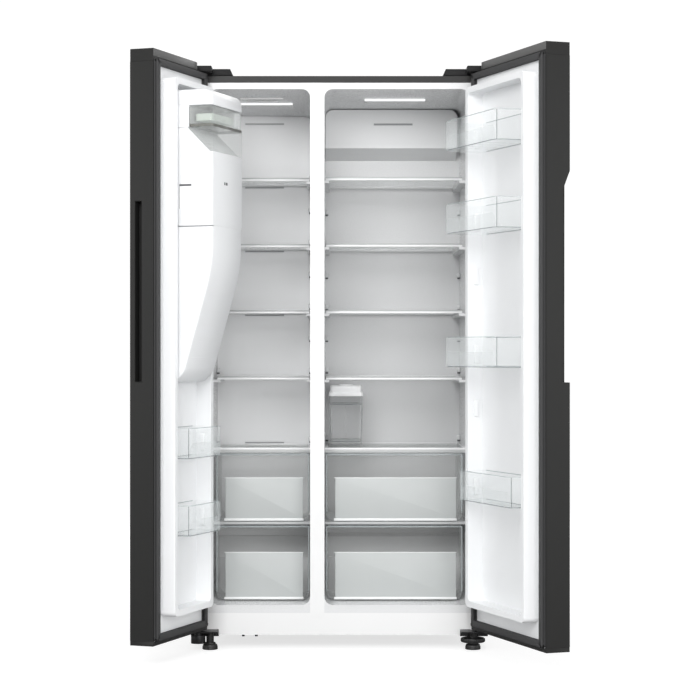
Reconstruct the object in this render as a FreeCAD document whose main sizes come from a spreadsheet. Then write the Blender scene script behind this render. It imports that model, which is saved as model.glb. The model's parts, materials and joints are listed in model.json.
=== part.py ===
import FreeCAD, Part
import math
import os
import re
import Sketcher

# Side by side refrigerator, in millimetres.
# Origin: on the floor, at the middle of the cabinet's width, in the plane of its front frame.
# +X is to the right as one faces the doors, +Y runs into the cabinet, +Z is up.
# The doors are modelled shut and then turned open about their hinge pins by doorAngle.

DRIVING = {
    # cabinet
    "cabWidth": 910,
    "cabDepth": 555,
    "cabTop": 1754,
    "cabBase": 41,
    "sheetSteel": 0.8,
    "topBand": 21,
    "sideBand": 10,
    "frameFoot": 108,
    "frameSheet": 2,
    # the two cooled spaces
    "sideWall": 57,
    "topWall": 40,
    "sillTop": 132,
    "mullionCentre": -67.75,
    "mullionWidth": 43.5,
    "linerWall": 2,
    "spaceDepth": 500,
    "fridgeDrop": 14,
    "freezerDrop": 47,
    "spaceRound": 25,
    "stepFront": 294,
    "stepTop": 310,
    "stepSlope": 60,
    # machine compartment
    "bayFront": 330,
    "bayTop": 266,
    "bayWide": 440,
    # evaporator side of the freezer, air duct of the fridge
    "coverFront": 390,
    "coverThick": 3,
    "fanAhead": 50,
    "fanDrop": 60,
    "fanHub": 20,
    "ductFront": 410,
    "ductBottom": 1574,
    "ductSlope": 33,
    "slotWidth": 126,
    "slotHigh": 6,
    "lampWidth": 192,
    "lampFront": 200,
    "lampDepth": 68,
    "lampThick": 5,
    # shelves
    "shelfTop": 1455,
    "shelfPitch": 207.7,
    "shelfThick": 11,
    "fridgeShelfFront": 118,
    "freezerShelfFront": 150,
    "shelfBack": 485,
    "shelfBar": 14,
    "paneThick": 4,
    "railWide": 10,
    "railHigh": 8,
    "coverShelfTop": 609,
    "coverShelfThick": 16,
    "lowFront": 108,
    "dividerTop": 379,
    "dividerThick": 11,
    "hingeSideGap": 14,
    "mullionSideGap": 4,
    # drawers
    "drawerWall": 2.5,
    "drawerRound": 24,
    "drawerLift": 3,
    "drawerRearGap": 6,
    "lowerDrawerTop": 366,
    "lowerDrawerBack": 284,
    "lipDeep": 12,
    "lipHigh": 8,
    # water tank
    "tankWidth": 106,
    "tankFootWidth": 98,
    "tankFront": 300,
    "tankBack": 480,
    "tankHigh": 156,
    "tankWall": 2.5,
    "tankSideGap": 14,
    "tankTaper": 4,
    "lidLap": 2,
    "lidWall": 3,
    "lidRound": 8,
    "lidHigh": 37,
    "lidRim": 12,
    # doors
    "doorAngle": 110,
    "doorThick": 74,
    "doorBottom": 61,
    "doorRise": 28,
    "doorGap": 5,
    "gasketGap": 14,
    "gasketWide": 18,
    "gasketPlay": 0.5,
    "hingeInset": 22,
    "hingeAhead": 38,
    "footCap": 14,
    "headCap": 13,
    "headRidge": 24,
    "hingeNotch": 53,
    "flange": 6,
    "doorLiner": 2,
    "rimInset": 42,
    "rimWall": 18,
    "rimHigh": 48,
    "rimRound": 16,
    "rimFoot": 142,
    "rimHeadDrop": 50,
    # grips
    "gripBottom": 822,
    "gripTop": 1342,
    "gripSlot": 21,
    "gripAhead": 16,
    "gripDeep": 30,
    "gripWall": 2,
    "cutDeep": 22,
    "cutWide": 34,
    "cutTop": 1363,
    "cutRunOut": 56,
    # door racks
    "rackHigh": 88,
    "rackWall": 2.5,
    "rackRound": 22,
    "rackPlay": 1,
    "deepRack": 126,
    "lowRack": 81,
    "freezerRack": 86,
    # ice and dispenser unit in the freezer door
    "iceNear": 290,
    "iceFar": 72,
    "iceBulge": 155,
    "iceTop": 1668,
    "iceBreak": 1155,
    "iceToe": 842,
    "iceFoot": 819,
    "iceToeBulge": 63,
    "iceFootBulge": 31,
    "iceWall": 3,
    "iceChamfer": 34,
    "bucketTop": 1560,
    "bucketBottom": 1272,
    "bucketBack": 31,
    "bucketWall": 2.5,
    "iceSeam": 1,
    "windowTop": 1621,
    "windowRim": 8,
    "windowDeep": 76,
    "windowWall": 2,
    "gripHoleLow": 1323,
    "gripHoleHigh": 1394,
    "gripHoleWide": 38,
    "trayWidth": 50,
    "trayLength": 150,
    "trayHigh": 20,
    "trayWall": 3,
    "trayShift": 10,
    "trayShaft": 14,
    "cellWide": 18,
    "trayAxisUp": 1589,
    "motorWide": 38,
    "motorDeep": 64,
    "motorGap": 4,
    "motorBelow": 19,
    "motorAbove": 28,
    "nicheWidth": 196,
    "nicheBottom": 930,
    "nicheTop": 1330,
    "panelHigh": 94,
    "nicheDeep": 116,
    "nicheWall": 2,
    "nicheRim": 6,
    "paddleWidth": 60,
    "paddleHigh": 92,
    "paddleAxisUp": 1205,
    "paddleDeep": 68,
    "paddleThick": 4,
    "earGap": 1,
    "earThick": 4,
    "earHalf": 8,
    # hinges, feet and rollers
    "pinRadius": 6,
    "pinPlay": 0.05,
    "hingePlate": 4,
    "plateGap": 2,
    "plateHalf": 18,
    "plateBack": 100,
    "coverRise": 24,
    "coverShell": 2,
    "coverReach": 130,
    "coverBack": 112,
    "coverBodyHigh": 22,
    "bracketSheet": 4,
    "bracketAhead": 58,
    "bracketBehind": 90,
    "bracketWide": 85,
    "bracketLift": 17,
    "knobRadius": 22,
    "knobHigh": 24,
    "knobBelow": 33,
    "knobShift": 3,
    "footRadius": 24,
    "footPad": 20,
    "footStem": 12,
    "footAhead": 20,
    "leftFootInset": 60,
    "rightFootInset": 47,
    "wheelRadius": 37.5,
    "wheelHigh": 13,
    "rollerRadius": 20,
    "rollerWidth": 22,
    "rollerInset": 55,
    "rollerBehind": 520,
    "axleRadius": 4,
    "screwRadius": 4.5,
    "screwHead": 3,
}

RACKS_RIGHT = {
    "fridge_rack_1": (1508, "deepRack"),
    "fridge_rack_2": (1260, "deepRack"),
    "fridge_rack_3": (864, "deepRack"),
    "fridge_rack_4": (466, "lowRack"),
}
RACKS_LEFT = {
    "freezer_rack_1": (599, "freezerRack"),
    "freezer_rack_2": (375, "freezerRack"),
}

doc = FreeCAD.newDocument("SideBySideRefrigerator")
sheet = doc.addObject("Spreadsheet::Sheet", "Sizes")
for row, (alias, size) in enumerate(DRIVING.items(), start=1):
    sheet.set(f"A{row}", alias)
    sheet.set(f"B{row}", str(size))
    sheet.setAlias(f"B{row}", alias)
doc.recompute()

SUBPARTS = {}


# ---------------------------------------------------------------- expressions

# Puts the sheet's name before each alias that an expression uses.
def bound(text):
    return re.sub(r"[A-Za-z]\w*", lambda word: name_in_sheet(word.group()), str(text))


def name_in_sheet(word):
    return f"Sizes.{word}" if word in DRIVING else word


def size(alias):
    return float(sheet.get(alias))


FREEZER_LEFT = "(-cabWidth / 2 + sideWall)"
FREEZER_RIGHT = "(mullionCentre - mullionWidth / 2)"
FRIDGE_LEFT = "(mullionCentre + mullionWidth / 2)"
FRIDGE_RIGHT = "(cabWidth / 2 - sideWall)"
SPACE_TOP = "(cabTop - topWall)"
INNER_HALF = "(cabWidth / 2 - sheetSteel)"
DOOR_TOP = "(cabTop + doorRise)"
RIM_HEAD = "(cabTop - rimHeadDrop)"
COVER_TOP = "(cabTop + coverRise)"
LEFT_FOOT = "(leftFootInset - cabWidth / 2)"
RIGHT_FOOT = "(cabWidth / 2 - rightFootInset)"
DOOR_BACK = "(-gasketGap)"
DOOR_FRONT = "(-gasketGap - doorThick)"
HINGE_X = "(cabWidth / 2 - hingeInset)"
NICHE_HALF = "(nicheWidth / 2)"
ICE_MIDDLE = "((iceNear + iceFar) / 2)"
NICHE_NEAR = f"({ICE_MIDDLE} - {NICHE_HALF})"
NICHE_FAR = f"({ICE_MIDDLE} + {NICHE_HALF})"


# X of a point that lies u from the hinge axis, measured along the shut door.
def along(side, u):
    if side == "left":
        return f"(-{HINGE_X} + ({u}))"
    return f"({HINGE_X} - ({u}))"


# Width of a door from its hinge axis to its free edge.
def span(side):
    sign = "+" if side == "left" else "-"
    return f"(cabWidth / 2 - hingeInset {sign} mullionCentre - doorGap / 2)"


# ---------------------------------------------------------------- building blocks

# Each plane is named by its two drawing axes: the origin plane's role, the sign of its
# offset, and whether a pad or a pocket must be reversed to run along the positive axis.
PLANES = {
    "XY": ("XY_Plane", 1, False, True),
    "XZ": ("XZ_Plane", -1, True, False),
    "YZ": ("YZ_Plane", 1, False, True),
}


def new_body(name):
    return doc.addObject("PartDesign::Body", name)


def new_sketch(body, plane, start):
    role, sign, _, _ = PLANES[plane]
    support = [item for item in body.Origin.OriginFeatures if item.Role == role][0]
    sketch = body.newObject("Sketcher::SketchObject", body.Name + "Sketch")
    sketch.AttachmentSupport = (support, [""])
    sketch.MapMode = "FlatFace"
    sketch.setExpression("AttachmentOffset.Base.z", bound(f"{sign} * ({start})"))
    return sketch


# Fixes one coordinate of a drawn point to an expression.
def fix_point(sketch, direction, shape, point, now, text):
    index = sketch.addConstraint(Sketcher.Constraint(direction, shape, point, now))
    sketch.setExpression(f"Constraints[{index}]", bound(text))


# A closed outline whose corners are (across, up) pairs of expressions.
def draw_outline(sketch, corners):
    first = sketch.GeometryCount
    count = len(corners)
    guess = [FreeCAD.Vector(80 * math.cos(6.28 * k / count), 80 * math.sin(6.28 * k / count), 0)
             for k in range(count)]
    for k in range(count):
        sketch.addGeometry(Part.LineSegment(guess[k], guess[(k + 1) % count]), False)
    for k in range(count):
        sketch.addConstraint(Sketcher.Constraint("Coincident", first + k, 2, first + (k + 1) % count, 1))
    for k, (across, up) in enumerate(corners):
        fix_point(sketch, "DistanceX", first + k, 1, guess[k].x, across)
        fix_point(sketch, "DistanceY", first + k, 1, guess[k].y, up)


def draw_circle(sketch, across, up, radius):
    shape = sketch.addGeometry(Part.Circle(FreeCAD.Vector(1, 1, 0), FreeCAD.Vector(0, 0, 1), 5), False)
    fix_point(sketch, "DistanceX", shape, 3, 1, across)
    fix_point(sketch, "DistanceY", shape, 3, 1, up)
    index = sketch.addConstraint(Sketcher.Constraint("Radius", shape, 5))
    sketch.setExpression(f"Constraints[{index}]", bound(radius))


def rectangle(x0, x1, y0, y1):
    return [(x0, y0), (x1, y0), (x1, y1), (x0, y1)]


def extrude(body, kind, plane, sketch, length):
    feature = body.newObject("PartDesign::" + kind, body.Name + kind)
    feature.Profile = sketch
    feature.setExpression("Length", bound(length))
    feature.Reversed = PLANES[plane][2 if kind == "Pad" else 3]
    return feature


# Adds the prism of one or more outlines, from start along the plane's positive normal.
def add(body, plane, start, length, *outlines):
    sketch = new_sketch(body, plane, start)
    for corners in outlines:
        draw_outline(sketch, corners)
    return extrude(body, "Pad", plane, sketch, length)


def remove(body, plane, start, length, *outlines):
    sketch = new_sketch(body, plane, start)
    for corners in outlines:
        draw_outline(sketch, corners)
    return extrude(body, "Pocket", plane, sketch, length)


def add_round(body, plane, start, length, across, up, radius):
    sketch = new_sketch(body, plane, start)
    draw_circle(sketch, across, up, radius)
    return extrude(body, "Pad", plane, sketch, length)


def remove_round(body, plane, start, length, across, up, radius):
    sketch = new_sketch(body, plane, start)
    draw_circle(sketch, across, up, radius)
    return extrude(body, "Pocket", plane, sketch, length)


# Repeats a feature along one of the body's axes and makes the pattern the body's result.
def repeat(body, feature, axis, pitch, count, backwards=False):
    pattern = body.newObject("PartDesign::LinearPattern", body.Name + "Pattern")
    pattern.Originals = [feature]
    direction = [item for item in body.Origin.OriginFeatures if item.Role == axis][0]
    pattern.Direction = (direction, [""])
    pattern.setExpression("Length", bound(f"({pitch}) * {count - 1}"))
    pattern.Occurrences = count
    pattern.Reversed = backwards
    body.Tip = pattern
    return pattern


def repeat_round(body, feature, axis, count):
    pattern = body.newObject("PartDesign::PolarPattern", body.Name + "Pattern")
    pattern.Originals = [feature]
    direction = [item for item in body.Origin.OriginFeatures if item.Role == axis][0]
    pattern.Axis = (direction, [""])
    pattern.Angle = 360
    pattern.Occurrences = count
    body.Tip = pattern
    return pattern


# Rounds the straight edges parallel to an axis that a test of their midpoint accepts.
def round_edges(body, axis, radius, accepts):
    doc.recompute()
    base = body.Tip
    names = []
    for number, edge in enumerate(base.Shape.Edges, start=1):
        if edge.Curve.TypeId != "Part::GeomLine":
            continue
        slope = edge.tangentAt(edge.FirstParameter)
        if abs(getattr(slope, axis)) > 0.99 and accepts(edge.CenterOfMass):
            names.append(f"Edge{number}")
    fillet = body.newObject("PartDesign::Fillet", body.Name + "Fillet")
    fillet.Base = (base, names)
    fillet.setExpression("Radius", bound(radius))
    return fillet


def block(name, x0, x1, y0, y1, z0, z1):
    box = doc.addObject("Part::Box", name)
    box.setExpression("Length", bound(f"({x1}) - ({x0})"))
    box.setExpression("Width", bound(f"({y1}) - ({y0})"))
    box.setExpression("Height", bound(f"({z1}) - ({z0})"))
    box.setExpression("Placement.Base.x", bound(x0))
    box.setExpression("Placement.Base.y", bound(y0))
    box.setExpression("Placement.Base.z", bound(z0))
    return box


# A cylinder that stands on (x, y, z) and runs along an axis.
def rod(name, axis, x, y, z, radius, length):
    cylinder = doc.addObject("Part::Cylinder", name)
    cylinder.setExpression("Radius", bound(radius))
    cylinder.setExpression("Height", bound(length))
    turns = {"X": ((0, 1, 0), 90), "Y": ((1, 0, 0), -90), "Z": ((0, 0, 1), 0)}
    direction, angle = turns[axis]
    cylinder.Placement.Rotation = FreeCAD.Rotation(FreeCAD.Vector(*direction), angle)
    cylinder.setExpression("Placement.Base.x", bound(x))
    cylinder.setExpression("Placement.Base.y", bound(y))
    cylinder.setExpression("Placement.Base.z", bound(z))
    return cylinder


def cut_from(name, base, tool):
    result = doc.addObject("Part::Cut", name)
    result.Base = base
    result.Tool = tool
    return result


# Separate solids that share one name.
def group(name, pieces):
    result = doc.addObject("Part::Compound", name)
    result.Links = pieces
    return result


# Registers a finished sub-part under its name; a door's piece is turned open with it.
def finish(item, label, door=None):
    item.Label = label
    if door:
        item.Placement = door_turn(door)
    SUBPARTS[label] = item


def door_turn(side):
    sign = -1 if side == "left" else 1
    hinge = FreeCAD.Vector(sign * (size("cabWidth") / 2 - size("hingeInset")), -size("hingeAhead"), 0)
    turn = FreeCAD.Rotation(FreeCAD.Vector(0, 0, 1), sign * size("doorAngle"))
    return FreeCAD.Placement(FreeCAD.Vector(0, 0, 0), turn, hinge)


# ---------------------------------------------------------------- cabinet shell

# An upside-down U, as wide as the cabinet, with legs and bridge of the given widths.
def arch(leg, bridge, foot):
    half = "cabWidth / 2"
    return [(f"-{half}", foot), (f"-{half}", "cabTop"), (half, "cabTop"), (half, foot),
            (f"{half} - {leg}", foot), (f"{half} - {leg}", f"cabTop - {bridge}"),
            (f"-{half} + {leg}", f"cabTop - {bridge}"), (f"-{half} + {leg}", foot)]


def cabinet_wrapper():
    body = new_body("Wrapper")
    add(body, "XZ", 0, "cabDepth", arch("sheetSteel", "sheetSteel", "cabBase"))
    add(body, "XZ", 0, "sheetSteel", arch("sideBand", "topBand", "frameFoot"))
    finish(body, "cabinet_wrapper")


def back_panel():
    panel = block("BackPanel", f"-{INNER_HALF}", INNER_HALF, "cabDepth - sheetSteel", "cabDepth",
                  "bayTop + sheetSteel", "cabTop - sheetSteel")
    finish(panel, "back_panel")


# The machine compartment's section, grown outward by the thickness given.
def bay_section(grow):
    return [(f"bayFront - {grow}", f"cabBase + sheetSteel"),
            (f"bayFront - {grow}", f"bayTop - stepSlope + {grow} * 0.414"),
            (f"bayFront + stepSlope - {grow} * 0.414", f"bayTop + {grow}"),
            ("cabDepth", f"bayTop + {grow}"), ("cabDepth", "cabBase + sheetSteel")]


# One formed sheet: the floor, the partition of the machine compartment and the ears that
# hold the rear rollers on their axles.
def base_pan():
    body = new_body("BasePan")
    add(body, "XZ", "frameSheet", "cabDepth - frameSheet - 2 * sheetSteel",
        rectangle(f"-{INNER_HALF}", INNER_HALF, "cabBase", "cabBase + sheetSteel"))
    add(body, "YZ", f"-{INNER_HALF}", f"2 * {INNER_HALF}", bay_section("sheetSteel"))
    remove(body, "YZ", "-bayWide", "2 * bayWide",
           [(across, up) for across, up in bay_section("0")[:3]]
           + [("cabDepth + 1", "bayTop"), ("cabDepth + 1", "cabBase + sheetSteel")])
    for sign in ("-", ""):
        middle = f"{sign}(cabWidth / 2 - rollerInset)"
        for shift in ("-rollerWidth / 2 - 3", "rollerWidth / 2 + 1"):
            add(body, "YZ", f"{middle} + {shift}", "2",
                rectangle("rollerBehind - 12", "rollerBehind + 12", "rollerRadius - 9", "cabBase"))
        add_round(body, "YZ", f"{middle} - rollerWidth / 2 - 2", "rollerWidth + 4",
                  "rollerBehind", "rollerRadius", "axleRadius")
    finish(body, "base_pan")


def compressor_cover():
    body = new_body("RearGrille")
    add(body, "XZ", "cabDepth - sheetSteel", "sheetSteel",
        rectangle("-bayWide", "bayWide", "cabBase + sheetSteel", "bayTop"))
    slot = remove(body, "XZ", "cabDepth - sheetSteel", "sheetSteel",
                  rectangle("-bayWide + 60", "-bayWide + 70", "cabBase + 60", "bayTop - 50"))
    repeat(body, slot, "X_Axis", "(2 * bayWide - 130) / 29", 30)
    finish(body, "compressor_cover")


def front_panels():
    plinth = new_body("Plinth")
    add(plinth, "XZ", 0, "frameSheet",
        rectangle("-cabWidth / 2 + sheetSteel", "cabWidth / 2 - sheetSteel", "cabBase", "frameFoot"))
    remove(plinth, "XZ", 0, "frameSheet / 2",
           rectangle("mullionCentre - 14", "mullionCentre + 14", "frameFoot - 20", "frameFoot - 18"))
    finish(plinth, "plinth")
    strip = new_body("Mullion")
    add(strip, "XZ", 0, "frameSheet / 2",
        rectangle(FREEZER_RIGHT, FRIDGE_LEFT, "frameFoot", "cabTop - topBand"))
    add(strip, "XZ", "frameSheet / 2", "frameSheet / 2",
        rectangle(f"{FREEZER_RIGHT} + linerWall", f"{FRIDGE_LEFT} - linerWall",
                  "frameFoot", "cabTop - topBand"))
    finish(strip, "mullion_cover")


# Section of a cooled space seen from the side: it steps up over the machine compartment
# and its ceiling falls by drop towards the back. grow moves every wall outward.
def space_section(drop, front, grow):
    return [(front, f"sillTop - {grow}"), (front, f"{SPACE_TOP} + {grow} - {drop} * ({front}) / spaceDepth"),
            (f"spaceDepth + {grow}", f"{SPACE_TOP} - {drop} + {grow}"),
            (f"spaceDepth + {grow}", f"stepTop - {grow}"),
            (f"stepFront + stepSlope + {grow} * 0.414", f"stepTop - {grow}"),
            (f"stepFront + {grow}", f"stepTop - stepSlope - {grow} * 0.414"),
            (f"stepFront + {grow}", f"sillTop - {grow}")]


# One vacuum-formed liner with its front flange and the shelf rails on its side walls.
def space_liner(name, label, left, right, flange_left, flange_right, drop,
                rail_left, rail_right, front, back):
    body = new_body(name)
    add(body, "YZ", f"{left} - linerWall", f"{right} - {left} + 2 * linerWall",
        space_section(drop, "frameSheet / 2", "linerWall"))
    add(body, "XZ", 0, "frameSheet", rectangle(flange_left, flange_right, "frameFoot", "cabTop - topBand"))
    remove(body, "YZ", left, f"{right} - {left}", space_section(drop, "-1", "0"))
    low, high = size("sillTop") - 1, size("cabTop") - size("topWall") + 1
    middle = (low + high) / 2
    round_edges(body, "y", "spaceRound",
                lambda p: 1 < p.y and low < p.z < high and abs(p.z - middle) > 0.4 * (high - low)
                and on_wall(p.x, left, right))
    under = "shelfTop - shelfThick"
    rails = add(body, "XZ", front, f"{back} - ({front})",
                rectangle(left, f"{left} + {rail_left}", f"{under} - railHigh", under),
                rectangle(f"{right} - ({rail_right})", right, f"{under} - railHigh", under))
    repeat(body, rails, "Z_Axis", "shelfPitch", 4, backwards=True)
    finish(body, label)


# True where x lies on one of the two side walls of a space.
def on_wall(x, left, right):
    walls = {FREEZER_LEFT: -size("cabWidth") / 2 + size("sideWall"),
             FREEZER_RIGHT: size("mullionCentre") - size("mullionWidth") / 2,
             FRIDGE_LEFT: size("mullionCentre") + size("mullionWidth") / 2,
             FRIDGE_RIGHT: size("cabWidth") / 2 - size("sideWall")}
    return min(abs(x - walls[left]), abs(x - walls[right])) < 0.1


def liners():
    edge = "(cabWidth / 2 - sideBand)"
    space_liner("FreezerLiner", "freezer_liner", FREEZER_LEFT, FREEZER_RIGHT, f"-{edge}", FREEZER_RIGHT,
                "freezerDrop", "hingeSideGap + railWide", "mullionSideGap + railWide",
                "freezerShelfFront", "coverFront - 4")
    space_liner("FridgeLiner", "fridge_liner", FRIDGE_LEFT, FRIDGE_RIGHT, FRIDGE_LEFT, edge,
                "fridgeDrop", "mullionSideGap + railWide", "hingeSideGap + railWide",
                "fridgeShelfFront", "shelfBack")


# The foam fills everything between the outer sheets and the liners.
def cabinet_foam():
    body = new_body("CabinetFoam")
    add(body, "XZ", "frameSheet", "cabDepth - frameSheet - sheetSteel",
        rectangle(f"-{INNER_HALF}", INNER_HALF, "cabBase + sheetSteel", "cabTop - sheetSteel"))
    remove(body, "YZ", f"-{INNER_HALF}", f"2 * {INNER_HALF}", bay_section("sheetSteel"))
    for left, right, drop in ((FREEZER_LEFT, FREEZER_RIGHT, "freezerDrop"),
                              (FRIDGE_LEFT, FRIDGE_RIGHT, "fridgeDrop")):
        remove(body, "YZ", f"{left} - linerWall", f"{right} - {left} + 2 * linerWall",
               space_section(drop, "0", "linerWall"))
    finish(body, "cabinet_foam")


# ---------------------------------------------------------------- cooling parts

def evaporator_cover():
    body = new_body("EvaporatorCover")
    add(body, "XZ", "coverFront", "coverThick",
        rectangle(f"{FREEZER_LEFT} + 0.5", f"{FREEZER_RIGHT} - 0.5", "stepTop + 0.5",
                  f"{SPACE_TOP} - freezerDrop * (coverFront + coverThick) / spaceDepth - 0.5"))
    middle = f"({FREEZER_LEFT} + {FREEZER_RIGHT}) / 2"
    add_round(body, "XZ", "coverFront + coverThick", "fanAhead + 4",
              middle, "shelfTop - fanDrop", "axleRadius")
    top = "(shelfTop + 195)"
    slot = remove(body, "XZ", "coverFront", "coverThick",
                  rectangle(f"{middle} - slotWidth / 2", f"{middle} + slotWidth / 2",
                            f"{top} - slotHigh / 2", f"{top} + slotHigh / 2"))
    repeat(body, slot, "Z_Axis", "shelfPitch", 6, backwards=True)
    doc.recompute()
    low = size("cabTop") - size("topWall") - size("freezerDrop") - 1
    round_edges(body, "y", "spaceRound", lambda p: p.z > low)
    finish(body, "evaporator_cover")


# A block of fins: solid with narrow grooves cut into its front and back.
def fin_block(name, x0, x1, y0, y1, z0, z1, grooves):
    body = new_body(name)
    add(body, "XY", z0, f"({z1}) - ({z0})", rectangle(x0, x1, y0, y1))
    pitch = f"(({x1}) - ({x0}) - 12) / {grooves - 1}"
    cut = remove(body, "XY", z0, f"({z1}) - ({z0})",
                 rectangle(f"({x0}) + 4", f"({x0}) + 8", y0, f"({y1}) - 20"))
    repeat(body, cut, "X_Axis", pitch, grooves)
    return body


# A hub with blades; its shaft runs along the plane's normal.
def fan(name, label, plane, radius, blades, place):
    body = new_body(name)
    hub = {"XZ": "Y_Axis", "YZ": "X_Axis"}[plane]
    add_round(body, plane, "-fanHub / 2", "fanHub", 0, 0, radius / 4)
    blade = add(body, plane, -6, 12, rectangle(0, 3, radius / 5, radius))
    repeat_round(body, blade, hub, blades)
    remove_round(body, plane, "-fanHub / 2", "fanHub", 0, 0, "axleRadius + pinPlay")
    for axis, text in zip("xyz", place):
        body.setExpression(f"Placement.Base.{axis}", bound(text))
    finish(body, label)


def cooling():
    middle = f"({FREEZER_LEFT} + {FREEZER_RIGHT}) / 2"
    coil = fin_block("Evaporator", f"{FREEZER_LEFT} + 16", f"{FREEZER_RIGHT} - 16",
                     "coverFront + 14", "spaceDepth", "stepTop + 190", "stepTop + 560", 20)
    finish(coil, "evaporator")
    fan("FreezerFan", "evaporator_fan", "XZ", 55, 5, (middle, "coverFront + fanAhead", "shelfTop - fanDrop"))
    duct = new_body("AirDuct")
    rear = f"{SPACE_TOP} - fridgeDrop"
    add(duct, "YZ", f"{FRIDGE_LEFT} + 1", f"{FRIDGE_RIGHT} - {FRIDGE_LEFT} - hingeSideGap",
        [("ductFront", "ductBottom"), ("ductFront", rear), ("spaceDepth", rear),
         ("spaceDepth", "ductBottom - ductSlope")])
    remove(duct, "YZ", f"{FRIDGE_LEFT} + 4", f"{FRIDGE_RIGHT} - {FRIDGE_LEFT} - hingeSideGap - 6",
           [("ductFront + 3", "ductBottom + 3"), ("ductFront + 3", f"{rear} - 3"),
            ("spaceDepth + 1", f"{rear} - 3"), ("spaceDepth + 1", "ductBottom - ductSlope + 3")])
    crown = size("cabTop") - size("topWall") - size("fridgeDrop")
    round_edges(duct, "y", "spaceRound - 3", lambda p: crown - 4 < p.z < crown - 2)
    round_edges(duct, "y", "spaceRound", lambda p: p.z > crown - 1)
    centre = f"({FRIDGE_LEFT} + {FRIDGE_RIGHT}) / 2"
    remove(duct, "XZ", "ductFront", "3",
           rectangle(f"{centre} - slotWidth / 2", f"{centre} + slotWidth / 2",
                     "ductBottom + 75", "ductBottom + 75 + slotHigh"))
    finish(duct, "air_duct")
    lamps = []
    for number, (place, drop) in enumerate(((middle, "freezerDrop"), (centre, "fridgeDrop"))):
        lamp = new_body(f"Lamp{number}")
        ends = ("lampFront", "(lampFront + lampDepth)")
        tops = [f"({SPACE_TOP} - {drop} * {end} / spaceDepth)" for end in ends]
        add(lamp, "YZ", f"{place} - lampWidth / 2", "lampWidth",
            [(ends[0], tops[0]), (ends[1], tops[1]),
             (ends[1], f"{tops[1]} - lampThick"), (ends[0], f"{tops[0]} - lampThick")])
        lamps.append(lamp)
    finish(group("Lamps", lamps), "ceiling_lamps")


# The pot of the compressor is turned; its four feet stand on the floor sheet.
def compressor():
    body = new_body("Compressor")
    sketch = new_sketch(body, "XZ", 0)
    draw_outline(sketch, [(0, 12), (60, 12), (78, 30), (80, 60), (80, 110), (72, 140), (50, 160), (0, 168)])
    turned = body.newObject("PartDesign::Revolution", "CompressorPot")
    turned.Profile = sketch
    turned.ReferenceAxis = (sketch, ["V_Axis"])
    turned.Angle = 360
    add(body, "XY", 8, 6, rectangle(-95, 95, -60, 60))
    for x in (-80, 80):
        for y in (-48, 48):
            add_round(body, "XY", 0, 10, x, y, 9)
    body.setExpression("Placement.Base.x", bound("bayWide - 150"))
    body.setExpression("Placement.Base.y", bound("(bayFront + cabDepth) / 2 + 8"))
    body.setExpression("Placement.Base.z", bound("cabBase + sheetSteel"))
    finish(body, "compressor")


def machine_parts():
    compressor()
    coil = fin_block("Condenser", "-bayWide + 90", "-bayWide + 290", "bayFront + 14", "cabDepth - 20",
                     "cabBase + 12", "bayTop - 76", 16)
    for x in ("-bayWide + 90", "-bayWide + 280"):
        add(coil, "XY", "cabBase + sheetSteel", "14 - sheetSteel",
            rectangle(x, f"{x} + 10", "cabDepth - 40", "cabDepth - 20"))
    add_round(coil, "YZ", "-bayWide + 289", "74", "(bayFront + cabDepth) / 2",
              "(cabBase + bayTop) / 2 - 24", "axleRadius")
    finish(coil, "condenser")
    fan("BayFan", "condenser_fan", "YZ", 64, 7,
        ("-bayWide + 350", "(bayFront + cabDepth) / 2", "(cabBase + bayTop) / 2 - 24"))
    tray = new_body("DrainTray")
    add(tray, "XY", "bayTop - 76", "30",
        rectangle("-bayWide + 90", "-bayWide + 290", "bayFront + 24", "cabDepth - 20"))
    remove(tray, "XY", "bayTop - 74", "28",
           rectangle("-bayWide + 92", "-bayWide + 288", "bayFront + 26", "cabDepth - 22"))
    finish(tray, "drain_tray")


# ---------------------------------------------------------------- shelves and drawers

# A glass pane in a frame of four bars; the frame's upper edge is at top.
def shelf(name, x0, x1, front, back, top, thick, bar):
    outer = block(name + "Outer", x0, x1, front, back, f"{top} - {thick}", top)
    hole = block(name + "Hole", f"{x0} + {bar} / 2", f"{x1} - {bar} / 2", f"{front} + {bar}",
                 f"{back} - {bar}", f"{top} - {thick}", top)
    pane = block(name + "Pane", f"{x0} + {bar} / 2", f"{x1} - {bar} / 2", f"{front} + {bar}",
                 f"{back} - {bar}", f"{top} - paneThick - 1", f"{top} - 1")
    return cut_from(name + "Frame", outer, hole), pane


def shelf_stack(prefix, left, right, x0, x1, front, back):
    frames = []
    panes = []
    for level in range(4):
        frame, pane = shelf(f"{prefix}Shelf{level}", x0, x1, front, back,
                            f"(shelfTop - {level} * shelfPitch)", "shelfThick", "shelfBar")
        frames.append(frame)
        panes.append(pane)
    frame, pane = shelf(f"{prefix}Cover", left, right, "lowFront", back, "coverShelfTop",
                        "coverShelfThick", "shelfBar")
    frames.append(frame)
    panes.append(pane)
    frames.append(block(f"{prefix}Divider", left, right, "lowFront", back,
                        "dividerTop - dividerThick", "dividerTop"))
    return frames, panes


def shelves():
    freezer = shelf_stack("Freezer", FREEZER_LEFT, FREEZER_RIGHT, f"{FREEZER_LEFT} + hingeSideGap",
                          f"{FREEZER_RIGHT} - mullionSideGap", "freezerShelfFront", "(coverFront - 4)")
    fridge = shelf_stack("Fridge", FRIDGE_LEFT, FRIDGE_RIGHT, f"{FRIDGE_LEFT} + mullionSideGap",
                         f"{FRIDGE_RIGHT} - hingeSideGap", "fridgeShelfFront", "shelfBack")
    finish(group("FreezerShelves", freezer[0]), "freezer_shelf_frames")
    finish(group("FridgeShelves", fridge[0]), "fridge_shelf_frames")
    finish(group("ShelfGlass", freezer[1] + fridge[1]), "shelf_glass")


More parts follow.
